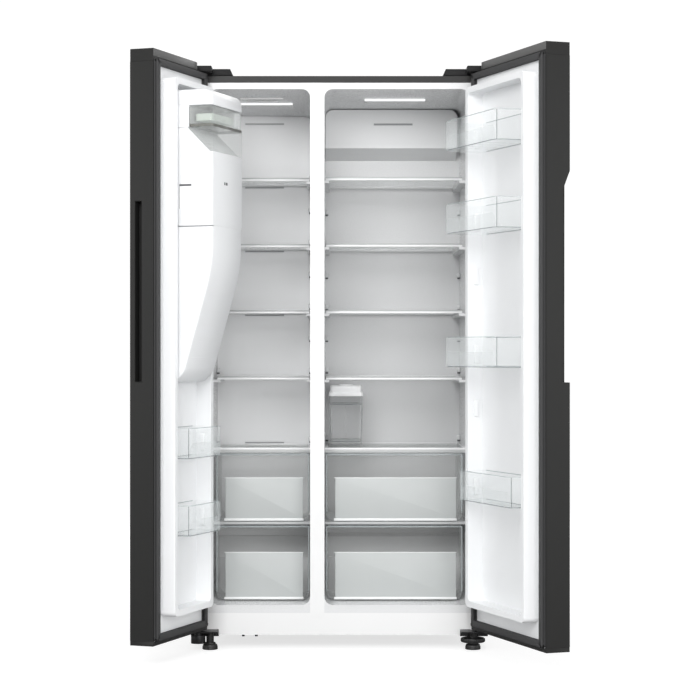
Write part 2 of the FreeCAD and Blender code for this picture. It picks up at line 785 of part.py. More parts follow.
# A moulded drawer: rounded along its bottom edges, open on top, with a finger lip that
# runs along the top of its front.
def drawer(name, label, x0, x1, y1, z0, z1):
    body = new_body(name)
    add(body, "XZ", "lowFront - 2", f"({y1}) - lowFront + 2", rectangle(x0, x1, z0, z1))
    doc.recompute()
    foot = body.Shape.BoundBox.ZMin
    remove(body, "XZ", "lowFront - 2 + drawerWall", f"({y1}) - lowFront + 2 - 2 * drawerWall",
           rectangle(f"{x0} + drawerWall", f"{x1} - drawerWall", f"{z0} + drawerWall", f"{z1} + 1"))
    round_edges(body, "y", "drawerRound - drawerWall", lambda p: foot + 1 < p.z < foot + 10)
    round_edges(body, "y", "drawerRound", lambda p: p.z < foot + 1)
    add(body, "XZ", "lowFront - 2 + drawerWall", "lipDeep",
        rectangle(f"{x0} + drawerWall", f"{x1} - drawerWall", f"{z1} - lipHigh", z1))
    finish(body, label)


def drawers():
    for prefix, x0, x1, back in (
            ("freezer", f"{FREEZER_LEFT} + hingeSideGap", f"{FREEZER_RIGHT} - mullionSideGap",
             "coverFront - drawerRearGap"),
            ("fridge", f"{FRIDGE_LEFT} + mullionSideGap", f"{FRIDGE_RIGHT} - hingeSideGap",
             "shelfBack - drawerRearGap")):
        drawer(f"{prefix}DrawerHigh", f"{prefix}_drawer_upper", x0, x1, back,
               "dividerTop + 1", "coverShelfTop - coverShelfThick - 2")
        drawer(f"{prefix}DrawerLow", f"{prefix}_drawer_lower", x0, x1, "lowerDrawerBack",
               "sillTop + drawerLift", "lowerDrawerTop")


# The tank narrows towards its foot; its lid sits on its rim.
def water_tank():
    body = new_body("WaterTank")
    left = f"({FRIDGE_LEFT} + tankSideGap)"
    middle = f"({left} + tankWidth / 2)"
    base = "(coverShelfTop + 0.5)"
    for kind, wall in (("Additive", "0"), ("Subtractive", "tankWall")):
        sections = []
        for width, inset, height in (("tankFootWidth", "tankTaper", wall),
                                     ("tankWidth", "0", f"tankHigh + {wall} / 2")):
            sketch = new_sketch(body, "XY", f"{base} + {height}")
            half = f"({width} / 2 - {wall})"
            draw_outline(sketch, rectangle(f"{middle} - {half}", f"{middle} + {half}",
                                           f"tankFront + {inset} + {wall}",
                                           f"tankBack - {inset} - {wall}"))
            sections.append(sketch)
        loft = body.newObject(f"PartDesign::{kind}Loft", "Tank" + kind)
        loft.Profile = sections[0]
        loft.Sections = [sections[1]]
        loft.Ruled = True
    finish(body, "water_tank")
    lid = new_body("TankLid")
    rim = f"({base} + tankHigh)"
    half = "(tankWidth / 2 + lidLap)"
    add(lid, "XY", rim, "lidRim", rectangle(f"{middle} - {half}", f"{middle} + {half}",
                                            "tankFront - lidLap", "tankBack + lidLap"))
    half = "(tankWidth / 2 - lidLap)"
    add(lid, "XY", f"{rim} + lidRim", "lidHigh - lidRim",
        rectangle(f"{middle} - {half}", f"{middle} + {half}", "tankFront + lidWall", "tankBack - lidWall"))
    doc.recompute()
    round_edges(lid, "z", "lidRound", lambda p: True)
    half = "(tankWidth / 2 - 2 * lidWall)"
    remove(lid, "XY", rim, "lidHigh - lidWall",
           rectangle(f"{middle} - {half}", f"{middle} + {half}",
                     "tankFront + lidRound", "tankBack - lidRound"))
    finish(lid, "tank_lid")


# ---------------------------------------------------------------- doors

# The steel skin is a channel: front, both edges and a narrow return at the back.
def skin_section(side):
    full = span(side)
    steel = "sheetSteel"
    points = [("-hingeInset", DOOR_BACK), ("-hingeInset", DOOR_FRONT),
              (full, DOOR_FRONT), (full, DOOR_BACK),
              (f"{full} - flange", DOOR_BACK), (f"{full} - flange", f"{DOOR_BACK} - {steel}"),
              (f"{full} - {steel}", f"{DOOR_BACK} - {steel}"),
              (f"{full} - {steel}", f"{DOOR_FRONT} + {steel}"),
              (f"-hingeInset + {steel}", f"{DOOR_FRONT} + {steel}"),
              (f"-hingeInset + {steel}", f"{DOOR_BACK} - {steel}"),
              ("-hingeInset + flange", f"{DOOR_BACK} - {steel}"), ("-hingeInset + flange", DOOR_BACK)]
    return [(along(side, u), y) for u, y in points]


# Start and length of a prism that runs in X between two distances from the hinge axis.
def reach(side, near, far):
    start = along(side, near) if side == "left" else along(side, far)
    return start, f"({far}) - ({near})"


# The slot in the left door's free edge, grown outward by the thickness given.
def slot_section(grow):
    return rectangle(f"{DOOR_FRONT} + gripAhead - {grow}", f"{DOOR_FRONT} + gripAhead + gripSlot + {grow}",
                     f"gripBottom - {grow}", f"gripTop + {grow}")


# The cut in the right door's front corner, with a sloped run-out at its top.
def corner_section(grow, ahead="1"):
    back = f"{DOOR_FRONT} + cutDeep + {grow}"
    slope = f"cutRunOut / (cutDeep + {grow})"
    return [(f"{DOOR_FRONT} - {ahead}", f"gripBottom - {grow}"), (back, f"gripBottom - {grow}"),
            (back, f"cutTop + {grow}"),
            (f"{DOOR_FRONT} - {ahead}", f"cutTop + cutRunOut + {grow} + {slope} * {ahead}")]


# Takes the grip's room out of a piece of a door.
def remove_grip(body, side):
    full = span(side)
    if side == "left":
        start, length = reach(side, f"{full} - gripDeep - gripWall", f"{full} + 1")
        remove(body, "YZ", start, length, slot_section("gripWall"))
    else:
        start, length = reach(side, f"{full} - cutWide - gripWall", f"{full} + 1")
        remove(body, "YZ", start, length, corner_section("gripWall"))


def door_grip(side):
    full = span(side)
    deep = "gripDeep" if side == "left" else "cutWide"
    outer = slot_section("gripWall") if side == "left" else corner_section("gripWall", "0")
    inner = slot_section("0") if side == "left" else corner_section("0")
    body = new_body(side + "Grip")
    start, length = reach(side, f"{full} - {deep} - gripWall", full)
    add(body, "YZ", start, length, outer)
    start, length = reach(side, f"{full} - {deep}", f"{full} + 1")
    remove(body, "YZ", start, length, inner)
    finish(body, side + "_grip", side)


DOOR_FOOT = "(doorBottom + footCap)"
DOOR_HEAD = f"({DOOR_TOP} - headRidge - headCap)"


# Front view of a rectangle on a door, between two distances from the hinge axis.
def on_door(side, near, far, low, high):
    return rectangle(along(side, near), along(side, far), low, high)


def door_skin(side):
    body = new_body(side + "Skin")
    add(body, "XY", DOOR_FOOT, f"{DOOR_HEAD} - {DOOR_FOOT}", skin_section(side))
    remove_grip(body, side)
    if side == "left":
        remove(body, "XZ", f"{DOOR_FRONT} - 1", "sheetSteel + 2",
               on_door(side, NICHE_NEAR, NICHE_FAR, "nicheBottom", "nicheTop"))
    finish(body, side + "_door_skin", side)


# The raised rim of a door liner, as seen from the front, moved inward by the thickness given.
def rim_outlines(side, inset):
    outer = on_door(side, f"rimInset + {inset}", f"{span(side)} - rimInset - 4 - {inset}",
                    f"rimFoot + {inset}", f"{RIM_HEAD} - {inset}")
    inner = on_door(side, f"rimInset + rimWall - {inset}", f"{span(side)} - rimInset - 4 - rimWall + {inset}",
                    f"rimFoot + rimWall - {inset}", f"{RIM_HEAD} - rimWall + {inset}")
    return outer, inner


def niche_outer():
    return on_door("left", f"{NICHE_NEAR} + nicheRim", f"{NICHE_FAR} - nicheRim",
                   "nicheBottom + nicheRim", "nicheTop - panelHigh")


def door_foam(side):
    body = new_body(side + "Foam")
    start, length = reach(side, "-hingeInset + sheetSteel", f"{span(side)} - sheetSteel")
    add(body, "YZ", start, length,
        rectangle(f"{DOOR_FRONT} + sheetSteel", f"{DOOR_BACK} - doorLiner", DOOR_FOOT, DOOR_HEAD))
    add(body, "XZ", f"{DOOR_BACK} - doorLiner", "rimHigh", *rim_outlines(side, "doorLiner"))
    round_edges(body, "y", "rimRound - doorLiner", lambda p: p.y > 0)
    remove_grip(body, side)
    if side == "left":
        remove(body, "XZ", f"{DOOR_FRONT} - 1", "doorThick + 2", niche_outer())
        remove(body, "XZ", f"{DOOR_FRONT}", "4",
               on_door(side, f"{ICE_MIDDLE} - {NICHE_HALF}", f"{ICE_MIDDLE} + {NICHE_HALF}",
                       "nicheBottom", "nicheTop"))
    finish(body, side + "_door_foam", side)


def door_liner(side):
    body = new_body(side + "Liner")
    add(body, "XZ", f"{DOOR_BACK} - doorLiner", "doorLiner",
        on_door(side, "-hingeInset + flange", f"{span(side)} - flange", DOOR_FOOT, DOOR_HEAD))
    add(body, "XZ", DOOR_BACK, "rimHigh", *rim_outlines(side, "0"))
    remove(body, "XZ", f"{DOOR_BACK} - doorLiner", "rimHigh", *rim_outlines(side, "doorLiner"))
    middle = size("rimHigh") / 2 - size("gasketGap") - 0.5 * size("doorLiner")
    round_edges(body, "y", "rimRound - doorLiner", lambda p: 0 < p.y < middle)
    round_edges(body, "y", "rimRound", lambda p: p.y > middle)
    if side == "left":
        remove(body, "XZ", f"{DOOR_BACK} - doorLiner", "doorLiner", niche_outer())
    finish(body, side + "_door_liner", side)


def door_gasket(side):
    body = new_body(side + "Gasket")
    add(body, "XZ", DOOR_BACK, "gasketGap - gasketPlay",
        on_door(side, "4", f"{span(side)} - 4", "doorBottom + footCap + 1", "cabTop - 2"),
        on_door(side, "4 + gasketWide", f"{span(side)} - 4 - gasketWide",
                "doorBottom + footCap + 1 + gasketWide", "cabTop - 2 - gasketWide"))
    finish(body, side + "_door_gasket", side)


# The end caps close the skin and carry the bores that turn on the hinge pins.
def door_caps(side):
    foot = new_body(side + "FootCap")
    whole = rectangle(along(side, "-hingeInset"), along(side, span(side)), DOOR_FRONT, DOOR_BACK)
    add(foot, "XY", "doorBottom", "footCap", whole)
    remove_round(foot, "XY", "doorBottom", "footCap", along(side, "0"), "-hingeAhead", "pinRadius + pinPlay")
    head = new_body(side + "HeadCap")
    add(head, "XY", DOOR_HEAD, "headCap", whole)
    add(head, "XY", f"{DOOR_TOP} - headRidge", "headRidge",
        rectangle(along(side, "hingeNotch"), along(side, span(side)), DOOR_FRONT, DOOR_BACK))
    remove_round(head, "XY", DOOR_HEAD, "headCap", along(side, "0"), "-hingeAhead", "pinRadius + pinPlay")
    finish(group(side + "Caps", [foot, head]), side + "_door_caps", side)


# A clear bin: rounded front corners, open on top.
def rack(label, side, foot, deep):
    body = new_body(label.replace("_", ""))
    near = "(rimInset + rimWall + rackPlay)"
    far = f"({span(side)} - rimInset - 4 - rimWall - rackPlay)"
    outer = rectangle(along(side, near), along(side, far), f"{DOOR_BACK} + 0.5", f"{DOOR_BACK} + {deep}")
    add(body, "XY", foot, "rackHigh", outer)
    doc.recompute()
    tip = body.Shape.BoundBox.YMax
    remove(body, "XY", f"{foot} + rackWall", "rackHigh",
           rectangle(along(side, f"{near} + rackWall"), along(side, f"{far} - rackWall"),
                     f"{DOOR_BACK} + 0.5 + rackWall", f"{DOOR_BACK} + {deep} - rackWall"))
    round_edges(body, "z", "rackRound - rackWall", lambda p: tip - 6 < p.y < tip - 1)
    round_edges(body, "z", "rackRound", lambda p: p.y > tip - 1)
    finish(body, label, side)


# ---------------------------------------------------------------- ice and dispenser unit

def ice_housing():
    body = new_body("IceHousing")
    face = f"({DOOR_BACK} + iceBulge)"
    wall = "iceWall"

    def section(back, grow):
        return [(back, f"iceTop + {grow}"), (f"{face} - iceChamfer", f"iceTop + {grow}"),
                (f"{face} + {grow}", f"iceTop - iceChamfer"), (f"{face} + {grow}", "iceBreak"),
                (f"{DOOR_BACK} + iceToeBulge + {grow}", "iceToe"),
                (f"{DOOR_BACK} + iceFootBulge + {grow}", f"iceFoot - {grow}"), (back, f"iceFoot - {grow}")]

    start, length = reach("left", "iceFar", "iceNear")
    add(body, "YZ", start, length, section(DOOR_BACK, "0"))
    start, length = reach("left", f"iceFar + {wall}", f"iceNear - {wall}")
    remove(body, "YZ", start, length, section(f"{DOOR_BACK} - 1", f"(-{wall})"))
    start, length = reach("left", "iceFar - 1", "iceNear + 1")
    remove(body, "YZ", start, length,
           rectangle(f"{DOOR_BACK} + bucketBack", f"{face} + 1", "bucketBottom", "bucketTop"))
    remove(body, "YZ", start, length,
           rectangle(f"{face} - windowDeep", f"{face} + 1", "bucketTop + windowRim", "windowTop"))
    finish(body, "ice_housing", "left")


# The bucket hangs in the housing's gap; a hole in each side takes the fingers.
def ice_bucket():
    body = new_body("IceBucket")
    face = f"({DOOR_BACK} + iceBulge)"
    back = f"({DOOR_BACK} + bucketBack + iceSeam)"
    start, length = reach("left", "iceFar", "iceNear")
    add(body, "YZ", start, length, rectangle(back, face, "bucketBottom + iceSeam", "bucketTop - iceSeam"))
    remove(body, "XY", "bucketBottom + iceSeam + bucketWall", "bucketTop - bucketBottom",
           rectangle(along("left", "iceFar + bucketWall"), along("left", "iceNear - bucketWall"),
                     f"{back} + bucketWall", f"{face} - bucketWall"))
    start, length = reach("left", "iceFar - 1", "iceNear + 1")
    remove(body, "YZ", start, length,
           rectangle(f"{back} + 17", f"{back} + 17 + gripHoleWide", "gripHoleLow", "gripHoleHigh"))
    finish(body, "ice_bucket", "left")


def ice_cover():
    body = new_body("IceCover")
    face = f"({DOOR_BACK} + iceBulge)"
    start, length = reach("left", "iceFar", "iceNear")
    add(body, "YZ", start, length,
        rectangle(f"{face} - windowDeep", face, "bucketTop + windowRim", "windowTop"))
    remove(body, "XY", "bucketTop + windowRim", "windowTop - bucketTop - windowRim - windowWall",
           rectangle(along("left", "iceFar + windowWall"), along("left", "iceNear - windowWall"),
                     f"{face} - windowDeep + windowWall", f"{face} - windowWall"))
    finish(body, "ice_cover", "left")


# The tray turns over to drop its cubes; one end of its shaft sits in the motor box.
def ice_maker():
    middle = f"({DOOR_BACK} + iceBulge - windowDeep / 2)"
    first = f"({ICE_MIDDLE} - trayLength / 2 + trayShift)"
    last = f"({first} + trayLength)"
    tray = new_body("IceTray")
    start, length = reach("left", first, last)
    add(tray, "YZ", start, length, rectangle(f"{middle} - trayWidth / 2", f"{middle} + trayWidth / 2",
                                             "trayAxisUp - trayHigh / 2", "trayAxisUp + trayHigh / 2"))
    near = along("left", f"{first} + trayWall")
    far = along("left", f"{first} + trayWall + cellWide")
    cell = remove(tray, "XY", "trayAxisUp - trayHigh / 2 + trayWall", "trayHigh",
                  rectangle(near, far, f"{middle} - trayWidth / 2 + trayWall", f"{middle} - trayWall / 2"),
                  rectangle(near, far, f"{middle} + trayWall / 2", f"{middle} + trayWidth / 2 - trayWall"))
    cells = 7
    repeat(tray, cell, "X_Axis", f"(trayLength - 2 * trayWall - cellWide) / {cells - 1}", cells)
    start, length = reach("left", f"{first} - trayShaft", first)
    add_round(tray, "YZ", start, length, middle, "trayAxisUp", "axleRadius")
    finish(tray, "ice_tray", "left")
    motor = new_body("IceMotor")
    start, length = reach("left", f"{first} - motorGap - motorWide", f"{first} - motorGap")
    add(motor, "YZ", start, length,
        rectangle(f"{middle} - motorDeep / 2", f"{middle} + motorDeep / 2",
                  "trayAxisUp - motorBelow", "trayAxisUp + motorAbove"))
    remove_round(motor, "YZ", start, length, middle, "trayAxisUp", "axleRadius + pinPlay")
    finish(motor, "ice_motor", "left")


def dispenser():
    body = new_body("Niche")
    side = "left"
    back = f"({DOOR_FRONT} + nicheDeep)"
    add(body, "XZ", DOOR_FRONT, "nicheWall", on_door(side, NICHE_NEAR, NICHE_FAR, "nicheBottom", "nicheTop"))
    add(body, "XZ", DOOR_FRONT, "nicheDeep", niche_outer())
    inset = "nicheRim + nicheWall"
    remove(body, "XZ", f"{DOOR_FRONT} - 1", "nicheDeep + 1 - nicheWall",
           on_door(side, f"{NICHE_NEAR} + {inset}", f"{NICHE_FAR} - {inset}",
                   f"nicheBottom + {inset}", "nicheTop - panelHigh - nicheWall"))
    pivot = f"({DOOR_FRONT} + paddleDeep)"
    ear = "(paddleWidth / 2 + earGap)"
    for u in (f"{ICE_MIDDLE} - {ear} - earThick", f"{ICE_MIDDLE} + {ear}"):
        start, length = reach(side, u, f"{u} + earThick")
        add(body, "YZ", start, length,
            rectangle(f"{pivot} - earHalf", f"{pivot} + earHalf",
                      "paddleAxisUp - earHalf", "nicheTop - panelHigh - nicheWall"))
        remove_round(body, "YZ", start, length, pivot, "paddleAxisUp", "axleRadius + pinPlay")
    finish(body, "dispenser_niche", side)
    paddle = new_body("Paddle")
    start, length = reach(side, f"{ICE_MIDDLE} - paddleWidth / 2", f"{ICE_MIDDLE} + paddleWidth / 2")
    add(paddle, "YZ", start, length,
        rectangle(f"{pivot} - paddleThick / 2", f"{pivot} + paddleThick / 2",
                  "paddleAxisUp - paddleHigh", "paddleAxisUp"))
    tip = f"({ear} + earThick)"
    start, length = reach(side, f"{ICE_MIDDLE} - {tip}", f"{ICE_MIDDLE} + {tip}")
    add_round(paddle, "YZ", start, length, pivot, "paddleAxisUp", "axleRadius")
    finish(paddle, "dispenser_paddle", side)


# ---------------------------------------------------------------- hinges, feet, rollers, screws

PLATE_FOOT = f"({DOOR_TOP} - headRidge + plateGap)"


# A plate on the cabinet's top that steps up and reaches over the door; the pin points down.
def top_hinge(side):
    body = new_body(side + "TopHinge")
    start, length = reach(side, "-plateHalf", "plateHalf")
    add(body, "YZ", start, length,
        [("plateBack", "cabTop"), ("plateBack", f"{PLATE_FOOT} + hingePlate"),
         ("-hingeAhead - plateHalf", f"{PLATE_FOOT} + hingePlate"), ("-hingeAhead - plateHalf", PLATE_FOOT),
         ("4", PLATE_FOOT), ("4", "cabTop")])
    add_round(body, "XY", f"{DOOR_HEAD} + 2", f"{PLATE_FOOT} - {DOOR_HEAD} - 1",
              along(side, "0"), "-hingeAhead", "pinRadius")
    return body


# The cover stands on the cabinet's top and its nose reaches out over the hinge pin.
def hinge_cover(side):
    body = new_body(side + "HingeCover")
    nose_foot = f"({PLATE_FOOT} - plateGap / 2)"
    nose_side = "(hingeNotch - 8)"
    add(body, "XY", "cabTop", "coverBodyHigh",
        rectangle(along(side, "-hingeInset + 1"), along(side, "coverReach - hingeInset"), "0", "coverBack"))
    add(body, "XY", nose_foot, f"{COVER_TOP} - {nose_foot}",
        rectangle(along(side, "-hingeInset + 1"), along(side, nose_side), "-hingeAhead - 20", "12"))
    remove(body, "XY", "cabTop", "coverBodyHigh - coverShell",
           rectangle(along(side, "-hingeInset + 1 + coverShell"),
                     along(side, "coverReach - hingeInset - coverShell"),
                     "coverShell", "coverBack - coverShell"))
    remove(body, "XY", nose_foot, f"{COVER_TOP} - {nose_foot} - coverShell",
           rectangle(along(side, "-hingeInset + 1 + coverShell"), along(side, f"{nose_side} - coverShell"),
                     "-hingeAhead - 20 + coverShell", "12 - coverShell"))
    return body


# A bent bracket under the cabinet's front edge; its pin carries the door.
def bottom_hinge(side):
    body = new_body(side + "BottomHinge")
    rise = "(cabBase - bracketSheet + bracketLift)"
    start, length = reach(side, "-hingeInset", "bracketWide - hingeInset")
    add(body, "YZ", start, length,
        [("bracketBehind", "cabBase - bracketSheet"), ("bracketBehind", "cabBase"), ("0", "cabBase"),
         ("0", f"{rise} + bracketSheet"), ("-bracketAhead", f"{rise} + bracketSheet"),
         ("-bracketAhead", rise), ("-bracketSheet", rise), ("-bracketSheet", "cabBase - bracketSheet")])
    add_round(body, "XY", f"{rise} + bracketSheet - 1", "footCap + 2",
              along(side, "0"), "-hingeAhead", "pinRadius")
    if side == "left":
        place = along(side, "knobShift")
        foot = f"({rise} - knobBelow)"
        add_round(body, "XY", foot, "knobBelow + 1", place, "-hingeAhead", "knobRadius / 2")
        add_round(body, "XY", foot, "knobHigh", place, "-hingeAhead", "knobRadius")
    return body


def hinges():
    sides = ("left", "right")
    finish(group("TopHinges", [top_hinge(side) for side in sides]), "top_hinges")
    finish(group("HingeCovers", [hinge_cover(side) for side in sides]), "hinge_covers")
    finish(group("BottomHinges", [bottom_hinge(side) for side in sides]), "bottom_hinges")


# A foot turns in its hinge bracket; the right one has a wide wheel to set the height.
def feet():
    rise = "(cabBase - bracketSheet + bracketLift)"
    for side, centre in (("left", LEFT_FOOT), ("right", RIGHT_FOOT)):
        body = new_body(side + "Foot")
        add_round(body, "XY", 0, "footPad", centre, "-footAhead", "footRadius")
        add_round(body, "XY", "footPad - 1", f"{rise} - footPad + 0.7", centre, "-footAhead", "footStem")
        if side == "right":
            add_round(body, "XY", "footPad + 2", "wheelHigh", centre, "-footAhead", "wheelRadius")
        finish(body, side + "_foot")


def rollers():
    for side, sign in (("left", "-"), ("right", "")):
        body = new_body(side + "Roller")
        start = f"{sign}(cabWidth / 2 - rollerInset) - rollerWidth / 2"
        add_round(body, "YZ", start, "rollerWidth", "rollerBehind", "rollerRadius", "rollerRadius")
        remove_round(body, "YZ", start, "rollerWidth", "rollerBehind", "rollerRadius", "axleRadius + pinPlay")
        finish(body, side + "_roller")


def screws():
    heads = []
    for side in ("left", "right"):
        for depth in (35, 80):
            heads.append(rod(f"{side}TopScrew{depth}", "Z", along(side, "0"), depth,
                             f"{PLATE_FOOT} + hingePlate", "screwRadius", "screwHead"))
            heads.append(rod(f"{side}FootScrew{depth}", "Z", along(side, "20"), depth,
                             "cabBase - bracketSheet - screwHead", "screwRadius", "screwHead"))
    for number, x in enumerate((-295, -255)):
        heads.append(rod(f"PlinthScrew{number}", "Z", x, 12, "cabBase - 2 * screwHead",
                         "screwRadius", "2 * screwHead"))
    finish(group("Screws", heads), "screws")


# ---------------------------------------------------------------- assembly

def build():
    cabinet_wrapper()
    back_panel()
    base_pan()
    compressor_cover()
    front_panels()
    liners()
    cabinet_foam()
    evaporator_cover()
    cooling()
    machine_parts()
    shelves()
    drawers()
    water_tank()
    for side in ("left", "right"):
        door_skin(side)
        door_caps(side)
        door_foam(side)
        door_liner(side)
        door_gasket(side)
        door_grip(side)
    for label, (foot, deep) in RACKS_LEFT.items():
        rack(label, "left", foot, deep)
    for label, (foot, deep) in RACKS_RIGHT.items():
        rack(label, "right", foot, deep)
    ice_housing()
    ice_bucket()
    ice_cover()
    ice_maker()
    dispenser()
    hinges()
    feet()
    rollers()
    screws()
    doc.recompute()


# Stops the build if a feature failed, a cut removed nothing or a shape is not sound.
def verify():
    for item in doc.Objects:
        if "Invalid" in item.State or "Error" in item.State:
            raise RuntimeError(f"{item.Name} ({item.Label}) did not build: {item.State}")
        if item.TypeId == "PartDesign::Pocket" and item.BaseFeature:
            if item.Shape.Volume > item.BaseFeature.Shape.Volume - 0.001:
                raise RuntimeError(f"{item.Name} removes nothing")
    for label, item in SUBPARTS.items():
        if item.Shape.isNull() or not item.Shape.isValid() or not item.Shape.Solids:
            raise RuntimeError(f"{label} is not a sound solid")


build()
verify()
os.makedirs("parts", exist_ok=True)
for label, item in SUBPARTS.items():
    item.Shape.exportStep(f"parts/{label}.step")
print(len(SUBPARTS), "sub-parts written")
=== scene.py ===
import json
import math

import bmesh
import bpy
from mathutils import Matrix, Vector


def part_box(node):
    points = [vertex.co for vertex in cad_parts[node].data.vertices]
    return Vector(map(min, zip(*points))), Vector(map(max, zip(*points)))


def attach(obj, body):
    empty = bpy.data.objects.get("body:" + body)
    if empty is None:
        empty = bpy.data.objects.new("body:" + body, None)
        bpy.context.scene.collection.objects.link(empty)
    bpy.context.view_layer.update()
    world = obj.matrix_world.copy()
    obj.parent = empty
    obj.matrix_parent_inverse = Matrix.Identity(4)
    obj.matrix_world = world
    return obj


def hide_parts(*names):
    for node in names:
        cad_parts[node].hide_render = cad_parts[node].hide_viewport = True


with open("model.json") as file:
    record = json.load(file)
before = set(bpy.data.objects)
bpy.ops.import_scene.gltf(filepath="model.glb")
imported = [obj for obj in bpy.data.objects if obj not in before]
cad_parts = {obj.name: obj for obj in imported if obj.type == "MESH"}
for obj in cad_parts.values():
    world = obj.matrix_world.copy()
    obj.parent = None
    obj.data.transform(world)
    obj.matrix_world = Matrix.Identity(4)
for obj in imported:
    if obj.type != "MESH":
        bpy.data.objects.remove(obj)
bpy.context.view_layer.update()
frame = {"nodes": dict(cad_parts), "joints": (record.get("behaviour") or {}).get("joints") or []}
scene = bpy.context.scene
joints = {joint["name"]: joint for joint in frame["joints"]}
print("frame loaded:", len(frame["nodes"]), "nodes")


# Turns a point of a shut door to where it stands in the open rest pose.
def doorTurnOf(side):
    joint = joints[side + "_door_hinge"]
    pivot = Vector(joint["pos_m"])
    turn = Matrix.Rotation(math.radians(-joint["range_deg"][0]), 4, Vector(joint["axis"]))
    return Matrix.Translation(pivot) @ turn @ Matrix.Translation(-pivot)


doorTurn = {side: doorTurnOf(side) for side in ("left", "right")}
hingeX = {side: joints[side + "_door_hinge"]["pos_m"][0] for side in ("left", "right")}


# Corners of a door's node in the shut door's own directions.
def shutBox(side, node):
    back = doorTurn[side].inverted()
    spots = [back @ v.co for v in frame["nodes"][node].data.vertices]
    low = Vector([min(s[k] for s in spots) for k in range(3)])
    high = Vector([max(s[k] for s in spots) for k in range(3)])
    return low, high


# X range of a stretch of a shut door, given by distances from its hinge pin.
def across(side, near, far):
    sign = 1 if side == "left" else -1
    ends = sorted((hingeX[side] + sign * near, hingeX[side] + sign * far))
    return ends[0], ends[1]


def edgesWhere(bm, test):
    found = []
    for edge in bm.edges:
        a, b = edge.verts[0].co, edge.verts[1].co
        if test((a + b) / 2, b - a):
            found.append(edge)
    return found


def bevelEdges(bm, edges, offset, segments=3):
    if edges:
        bmesh.ops.bevel(bm, geom=edges, offset=offset, offset_type="OFFSET", segments=segments,
                        profile=0.5, affect="EDGES", clamp_overlap=True, material=-1)


def blockOf(low, high):
    part = bmesh.new()
    bmesh.ops.create_cube(part, size=1.0)
    bmesh.ops.scale(part, vec=high - low, verts=part.verts)
    bmesh.ops.translate(part, vec=(low + high) / 2, verts=part.verts)
    return part


def boxInto(bm, low, high, radius=0.0, segments=2):
    low, high = Vector(low), Vector(high)
    part = blockOf(low, high)
    if radius:
        bevelEdges(part, part.edges[:], min(radius, 0.45 * min(high - low)), segments)
    mergeInto(bm, part)


# Adds a finished small shape to a bigger one. A shell that has its wall already is left as it faces.
def mergeInto(bm, part, walled=False):
    if not walled:
        bmesh.ops.recalc_face_normals(part, faces=part.faces[:])
    holder = bpy.data.meshes.new("part")
    part.to_mesh(holder)
    part.free()
    bm.from_mesh(holder)
    bpy.data.meshes.remove(holder)


# One flat face through (across, up) points, at a level along an axis.
def flatFace(points, axis, level):
    part = bmesh.new()
    spot = {"x": lambda a, b: (level, a, b), "y": lambda a, b: (a, level, b), "z": lambda a,
            b: (a, b, level)}
    corners = [part.verts.new(spot[axis](a, b)) for a, b in points]
    part.faces.new(corners)
    return part, corners


def rectangle(low, high):
    return [(low[0], low[1]), (high[0], low[1]), (high[0], high[1]), (low[0], high[1])]


def roundCorners(part, corners, radius, segments=6):
    bmesh.ops.bevel(part, geom=corners, offset=radius, offset_type="OFFSET", segments=segments,
                    profile=0.5, affect="VERTICES", clamp_overlap=True, material=-1)


# Pushes the flat faces by a step and returns the corners that moved.
def pushOut(part, step):
    pushed = bmesh.ops.extrude_face_region(part, geom=part.faces[:])
    moved = [g for g in pushed["geom"] if isinstance(g, bmesh.types.BMVert)]
    bmesh.ops.translate(part, vec=step, verts=moved)
    return moved


def alongAxis(axis, distance):
    return Vector([distance if name == axis else 0 for name in "xyz"])


# Leaves only a band of the flat face, along its outline.
def keepBand(part, width):
    middle = part.faces[:]
    bmesh.ops.inset_region(part, faces=middle, thickness=width, use_even_offset=True, use_boundary=True)
    bmesh.ops.delete(part, geom=middle, context="FACES")


def cutFaces(part, test):
    bmesh.ops.delete(part, geom=[f for f in part.faces if test(f.calc_center_median())], context="FACES")


# A flat outline given by (across, up) points, pushed along an axis from start to end.
# roundings gives the radius of each corner that is rounded, by its place in the list.
def prismInto(bm, points, axis, start, end, roundings=None, rim=0.0, segments=6):
    part, corners = flatFace(points, axis, start)
    for index, radius in sorted((roundings or {}).items()):
        roundCorners(part, [corners[index]], radius, segments)
    pushOut(part, alongAxis(axis, end - start))
    if rim:
        flat = "xyz".index(axis)
        ends = edgesWhere(part, lambda m, d: abs(d[flat]) < 1e-6 * d.length + 1e-9)
        bevelEdges(part, ends, rim, 2)
    mergeInto(bm, part)


# A closed band round a rectangle: outline in the plane across axis, width inward, depth along axis.
def ringInto(bm, axis, low, high, width, corner, start, end, rim=0.0, segments=5):
    part, corners = flatFace(rectangle(low, high), axis, start)
    if corner:
        roundCorners(part, corners, corner, segments)
    keepBand(part, width)
    moved = pushOut(part, alongAxis(axis, end - start))
    if rim:
        tops = set(moved)
        edges = [e for e in part.edges if e.verts[0] in tops and e.verts[1] in tops
                 and e.calc_face_angle(0) > 0.8]
        bevelEdges(part, edges, rim, 3)
    mergeInto(bm, part)


def rodInto(bm, centre, axis, radius, length, segments=32, rim=0.0, tip=None):
    part = bmesh.new()
    bmesh.ops.create_cone(part, cap_ends=True, segments=segments, radius1=radius,
                          radius2=radius if tip is None else tip, depth=length)
    turn = {"x": Matrix.Rotation(math.pi / 2, 3, "Y"), "y": Matrix.Rotation(-math.pi / 2, 3, "X"),
            "z": Matrix.Identity(3)}[axis]
    bmesh.ops.rotate(part, cent=(0, 0, 0), matrix=turn, verts=part.verts)
    bmesh.ops.translate(part, vec=centre, verts=part.verts)
    if rim:
        bevelEdges(part, [e for e in part.edges if e.calc_face_angle(0) > 0.8], rim, 2)
    mergeInto(bm, part)


